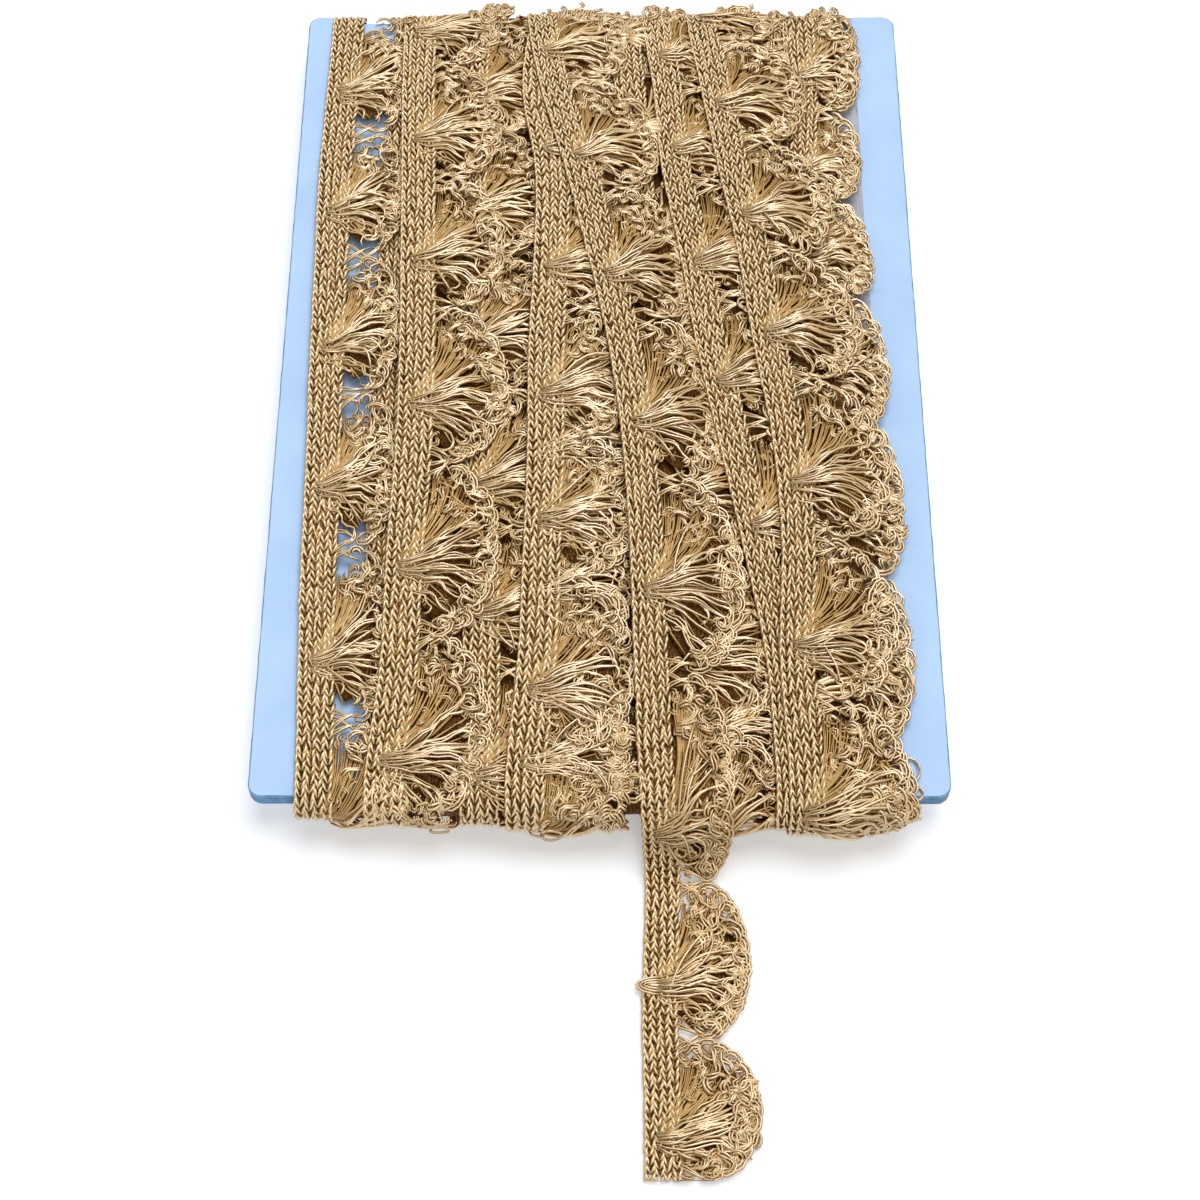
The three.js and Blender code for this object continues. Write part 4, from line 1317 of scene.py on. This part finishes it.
class LACE_OT_core(bpy.types.Operator):
    """The pile's dense inside, just under the turns that show"""

    bl_idname = "lace.core"
    bl_label = "Pile's inside"

    def execute(self, context):
        rng = np.random.default_rng(context.scene.lace_sizes.seed + 1)
        columns, steps, bends = 64, 80, 8

        def sides(y):
            left, right = pile_sides(y)
            return left + (right - left) * np.linspace(0, 1, columns)

        def top(x, y):
            return pile_top(x, y, 0.9 + 1.5 * fullness(y))

        rings = []  # rows of points across the pile: over its top, round the near end, under it and back
        for y in np.linspace(FAR_EDGE, -HALF, steps + 1):
            x = sides(y)
            rings.append(np.column_stack([x, np.full(columns, y), CARD_TOP + top(x, y)]))
        for side in (-1, 1):
            y = FAR_EDGE if side > 0 else -HALF
            x = sides(y)
            for i in range(1, bends):
                share = i / bends if side < 0 else 1 - i / bends
                radius = (CARD_TOP - CARD_UNDER) / 2 + top(x, y) * (1 - share) + pile_depth(y) * share
                turn = math.pi * share
                around, height = y + side * radius * math.sin(turn), CARD_MIDDLE + radius * math.cos(turn)
                rings.append(np.column_stack([x, around, height]))
            if side < 0:
                for under in np.linspace(-HALF, FAR_EDGE, steps + 1):
                    height = np.full(columns, CARD_UNDER - pile_depth(under))
                    rings.append(np.column_stack([sides(under), np.full(columns, under), height]))
        points = np.array(rings)
        count = len(points)
        points[..., 2] += rng.normal(0, 0.16, (count, columns))
        i = np.arange(count)[:, None]
        a = i * columns + np.arange(columns - 1)
        b = (i + 1) % count * columns + np.arange(columns - 1)
        quads = np.stack([a, b, b + 1, a + 1], -1).reshape(-1, 4)
        k = np.arange(count // 2 - 1)
        first = columns * np.stack([k, count - 1 - k, count - 2 - k, k + 1], 1)
        caps = np.vstack([first, first[:, ::-1] + columns - 1])
        obj = mesh_object("pile_inside", points.reshape(-1, 3), [quads, caps], "gold_ground")
        # Painted light and shade: the pile's inside, which stands for deeper threads, is painted dark between
        # the turns, and lighter where it passes under the card, in shade.
        attribute(obj, "lit_ground", "FLOAT", 0.85 * (points[..., 2].ravel() < CARD_UNDER))
        dress(obj)
        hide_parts("wound_trim")
        return {"FINISHED"}


def along_top(strip, marks, y):
    """Distance along the strip of a place on top of the card, on the turn with those marks."""
    inside = (strip.t >= marks[1]) & (strip.t <= marks[2])
    return float(np.interp(-y, -strip.line[inside, 1], strip.t[inside]))


def pile_sides(y):
    """Left and right side of the dense inside of the pile."""
    return through(TURNS["B1"]["x"], y) + 1.4, through(TURNS["I"]["x"], y) + 11.0


def pile_depth(y):
    """How far under the card the dense inside reaches."""
    return between(0.8, 3.2, y)


def pile_top(x, y, sunk):
    """Height over the card of the highest turn at a place, less how far the dense inside lies below it."""
    beside_next = x < through(TURNS["B2"]["x"], y) + 1.5
    height = np.where(beside_next, between(0.35, 0.9, y), between(0.9, 3.6, y))
    for name, turn in TURNS.items():
        if name == "A":
            continue
        s = x - through(turn["x"], y)
        inside = (s > 0.6) & (s < turn["reach"] - 5)
        height = np.where(inside, np.maximum(height, surface(turn, s, y) - sunk), height)
    return np.maximum(height, 0.35)


def covered(x, y):
    """Whether a place lies under a heading or under the gathered threads of a scallop."""
    hit = np.zeros(len(x), bool)
    for name, turn in TURNS.items():
        if name in ("A", "B1"):
            continue
        s = x - through(turn["x"], y)
        hit |= (s > -0.5) & (s < HEADING)
        for root in turn["roots"]:
            hit |= ((s - 9) / 8.5) ** 2 + ((y - root - 4) / 10.5) ** 2 < 1
    return hit


class LACE_OT_tangle(bpy.types.Operator):
    """Loops of deeper turns that show between the scallops"""

    bl_idname = "lace.tangle"
    bl_label = "Deeper loops"

    def execute(self, context):
        rng = np.random.default_rng(context.scene.lace_sizes.seed + 2)
        thread = context.scene.lace_sizes.thread / MM
        tries, wanted, edge, steps = 9000, 300, 30, 6  # edge: bundles along the card's far end
        y = rng.uniform(-HALF, HALF - 2, tries)
        left, right = pile_sides(y)
        x = left + 2 + (right - left - 4) * rng.uniform(0, 1, tries)
        keep = np.flatnonzero(~covered(x, y))[:wanted]
        x, y = x[keep], y[keep]
        count = len(x)
        height = CARD_TOP + pile_top(x, y, 1.6) + rng.uniform(0.2, 1.6, count)
        x = np.concatenate([x, rng.uniform(-58, 60, edge)])
        y = np.concatenate([y, FAR_EDGE + rng.uniform(-1.4, 0.2, edge)])
        height = np.concatenate([height, CARD_TOP + rng.uniform(0.2, 2.2, edge)])
        for clump in CLUMPS:
            more = clump["count"]
            x = np.concatenate([x, clump["x"] + clump["wide"] * rng.normal(0, 1, more).clip(-1.6, 1.6)])
            y = np.concatenate([y, clump["y"] + clump["long"] * rng.normal(0, 1, more).clip(-1.6, 1.6)])
            height = np.concatenate([height, CARD_TOP + clump["z"] + rng.uniform(-0.8, 0.8, more)])
        places, count = np.stack([x, y], 1), len(x)
        radius, arc = rng.uniform(1.0, 2.8, count), rng.uniform(1.6, 4.2, count)
        yarn = Yarn()
        curled = arc_bundles(rng, places, radius, arc, height, 2, steps, thread)
        nearby = places + rng.normal(0, 1, places.shape)
        wavy = wavy_bundles(rng, nearby, 2.1 * radius, height - 0.3, 2, steps, thread)
        for bundles in (curled, wavy):
            tone = np.minimum(rng.uniform(0.7, 1.15, len(bundles)), 1)
            yarn.add(bundles, thread / 2, 0.9 * tone)
        f = np.linspace(0, 2 * np.pi, 15)
        for ring in STRAY_RINGS:
            wave = np.sin(2 * f + ring["x"])
            line = np.stack([
                ring["x"] + ring["wide"] / 2 * np.cos(f),
                ring["y"] + ring["tall"] / 2 * np.sin(f) * ring["flat"],
                ring["z"] + ring["tall"] / 2 * np.sin(f) * (1 - ring["flat"]) + 0.3 * wave,
            ], 1)
            yarn.add(line[None], 0.5 * thread, 0.9)
        yarn.to_object("deeper_loops")
        return {"FINISHED"}


def scallops_between(roots, start, end):
    """(root, far half, near half) of each scallop whose root lies between two places on the strip."""
    found = []
    for k in range(1, len(roots)):
        after = roots[k + 1] - roots[k] if k + 1 < len(roots) else 24.0
        if start <= roots[k] < end:
            found.append((roots[k], FAR_SHARE * (roots[k] - roots[k - 1]), (1 - FAR_SHARE) * after))
    return found


def ribbon_under(name, strip, over, start, end, width, scallops=(), reach=0.0, grow=0.0):
    """A thin ground under a length of heading, and one under each of its scallops.

    over: turns that lie on it. reach: of the scallops, one value or one for each. grow: how far past the
    gathered threads their ground goes."""
    steps = max(8, int((end - start) / 2.5))
    points, faces = ground(strip, start, end, 0.35, width - 0.2, -0.5, 0.03, steps)
    points, ribbon = [points], len(points)
    count = ribbon
    for (root, far, near), tip in zip(scallops, np.broadcast_to(reach, len(scallops))):
        ends = fan_ends(np.linspace(0, 0.94, 16), far, near, tip, width, grow)
        notch = [(width - 0.2, 0.6 * far), (width - 0.6, 7.0)]
        ring = np.vstack([[(ROOT, 1.0), (ROOT, -1.0)], ends, notch])
        n = len(ring)
        for height in (-0.1, -0.3):
            points.append(strip.place(np.column_stack([root - ring[:, 1], ring[:, 0], np.full(n, height)])))
        j = np.arange(n)
        faces.append(skin(n, 2, count))
        faces.append(np.stack([count + j[::-1], count + n + j]))
        count += 2 * n
    obj = mesh_object(name, tuck(np.vstack(points), over), faces, "gold_ground")
    # The grounds under the scallops are painted dark, as the shade between their threads.
    attribute(obj, "lit_ground", "FLOAT", (np.arange(count) < ribbon).astype(float))
    return dress(obj)


class LACE_OT_turns_over(bpy.types.Operator):
    """The turns on top of the card, each with its heading and scallops"""

    bl_idname = "lace.turns_over"
    bl_label = "Turns on top"

    def execute(self, context):
        sizes = context.scene.lace_sizes
        strip, marks, roots = winding()
        thread, stitch = sizes.thread / MM, sizes.stitch / MM
        for number, (name, (start, _, over, _)) in enumerate(marks.items()):
            rng = np.random.default_rng(sizes.seed * 100 + number)
            turn = TURNS[name]
            width, reach = turn["width"], turn["reach"]
            yarn = Yarn(strip, turn["over"], 0.85 if name in SHADED else 1.0)
            plain, first = name in PLAIN_TURNS, name == "A"
            stop = over if name != "E" else along_top(strip, marks["E"], LOOSE_FROM)
            heading(yarn, rng, start, stop, stitch, width, False, WALES[:3] if plain else WALES)
            webs = () if plain else scallops_between(roots, start, stop)
            for root, far, near in webs:
                y = float(np.interp(root, strip.t, strip.line[:, 1]))
                hidden = any(abs(y - place) < 8 for place in turn.get("hidden", ())) or y > FAR_EDGE
                shape = (root, far, near, reach, width)
                scallop(yarn, rng, *shape, not hidden, thread, sizes.groups, open_notch=first)
            for deep in DEEPER:
                if deep["turn"] == name:
                    shape = (along_top(strip, marks[name], deep["y"]), 23.0, 14.0, reach, width)
                    scallop(yarn, rng, *shape, True, thread, sizes.groups, deep["over"], deep["down"])
            yarn.to_object(f"turn_{name}_threads")
            grow = -1.0 if first else 1.6
            ribbon_under(f"turn_{name}_ground", strip, turn["over"], start, stop, width, webs, reach, grow)
        return {"FINISHED"}


class LACE_OT_turns_under(bpy.types.Operator):
    """The runs under the card, from each turn to the next"""

    bl_idname = "lace.turns_under"
    bl_label = "Turns underneath"

    def execute(self, context):
        sizes = context.scene.lace_sizes
        strip, marks, roots = winding()
        thread, stitch = sizes.thread / MM, sizes.stitch / MM
        for number, (name, (_, _, over, end)) in enumerate(marks.items()):
            if over == end:
                continue
            rng = np.random.default_rng(sizes.seed * 200 + number)
            yarn = Yarn(strip)
            heading(yarn, rng, over, end, 1.5 * stitch, UNDER_WIDTH, False, WALES[:3])
            for root, far, near in scallops_between(roots, over, end):
                fine = root < over + NEAR_ROUND and name not in PLAIN_TURNS
                scallop(yarn, rng, root, far, near, UNDER_REACH, UNDER_WIDTH, fine, thread, sizes.groups)
            yarn.to_object(f"under_{name}_threads")
            ribbon_under(f"under_{name}_ground", strip, (), over, end, UNDER_WIDTH)
        return {"FINISHED"}


class LACE_OT_loose_end(bpy.types.Operator):
    """The loose end: over the near edge and along the surface"""

    bl_idname = "lace.loose_end"
    bl_label = "Loose end"

    def execute(self, context):
        sizes = context.scene.lace_sizes
        strip, marks, roots = winding()
        rng = np.random.default_rng(sizes.seed * 300)
        thread, width = sizes.thread / MM, TURNS["E"]["width"]
        start, end = along_top(strip, marks["E"], LOOSE_FROM), strip.t[-1]
        webs = scallops_between(roots, start, end)
        yarn = Yarn(strip, (), 0.72)
        heading(yarn, rng, start - 2, end + 0.5, sizes.loose_stitch / MM, width, True)
        for (root, far, near), reach in zip(webs, LOOSE_REACHES):
            shape = (root, far, near, reach, width)
            scallop(yarn, rng, *shape, True, 1.08 * thread, sizes.groups + 3, mess=0.35, crowd=1.5)
        slipped = along_top(strip, marks["E"], LOOSE_ROOTS[1])
        yarn.add(slipped_loop(slipped, thread), 0.55 * thread, 1.1)
        threads = yarn.to_object("loose_end_threads")
        web = ribbon_under("loose_end_ground", strip, (), start, end - 1.5, width, webs, LOOSE_REACHES, 2.6)
        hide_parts("loose_end")
        return {"FINISHED"}


class LACE_PT_panel(bpy.types.Panel):
    """Sizes, colours and pieces of the trim"""

    bl_label = "Lace trim"
    bl_idname = "LACE_PT_panel"
    bl_space_type = "VIEW_3D"
    bl_region_type = "UI"
    bl_category = "Lace"

    def draw(self, context):
        for group in (context.scene.lace_sizes, context.scene.lace_colours):
            for name in group.bl_rna.properties.keys():
                if name not in ("rna_type", "name"):
                    self.layout.prop(group, name)
        for operator in OPERATORS:
            self.layout.operator(operator.bl_idname)


OPERATORS = (
    LACE_OT_stage,
    LACE_OT_card,
    LACE_OT_tape,
    LACE_OT_core,
    LACE_OT_tangle,
    LACE_OT_turns_over,
    LACE_OT_turns_under,
    LACE_OT_loose_end,
)


def register():
    for cls in (LaceSizes, LaceColours, *OPERATORS, LACE_PT_panel):
        bpy.utils.register_class(cls)
    bpy.types.Scene.lace_sizes = PointerProperty(type=LaceSizes)
    bpy.types.Scene.lace_colours = PointerProperty(type=LaceColours)


def unregister():
    del bpy.types.Scene.lace_colours
    del bpy.types.Scene.lace_sizes
    for cls in reversed((LaceSizes, LaceColours, *OPERATORS, LACE_PT_panel)):
        bpy.utils.unregister_class(cls)


def main():
    register()
    bpy.ops.lace.stage()
    bpy.ops.lace.card()
    bpy.ops.lace.tape()
    bpy.ops.lace.core()
    bpy.ops.lace.tangle()
    bpy.ops.lace.turns_over()
    bpy.ops.lace.turns_under()
    bpy.ops.lace.loose_end()


if __name__ == "__main__":
    main()
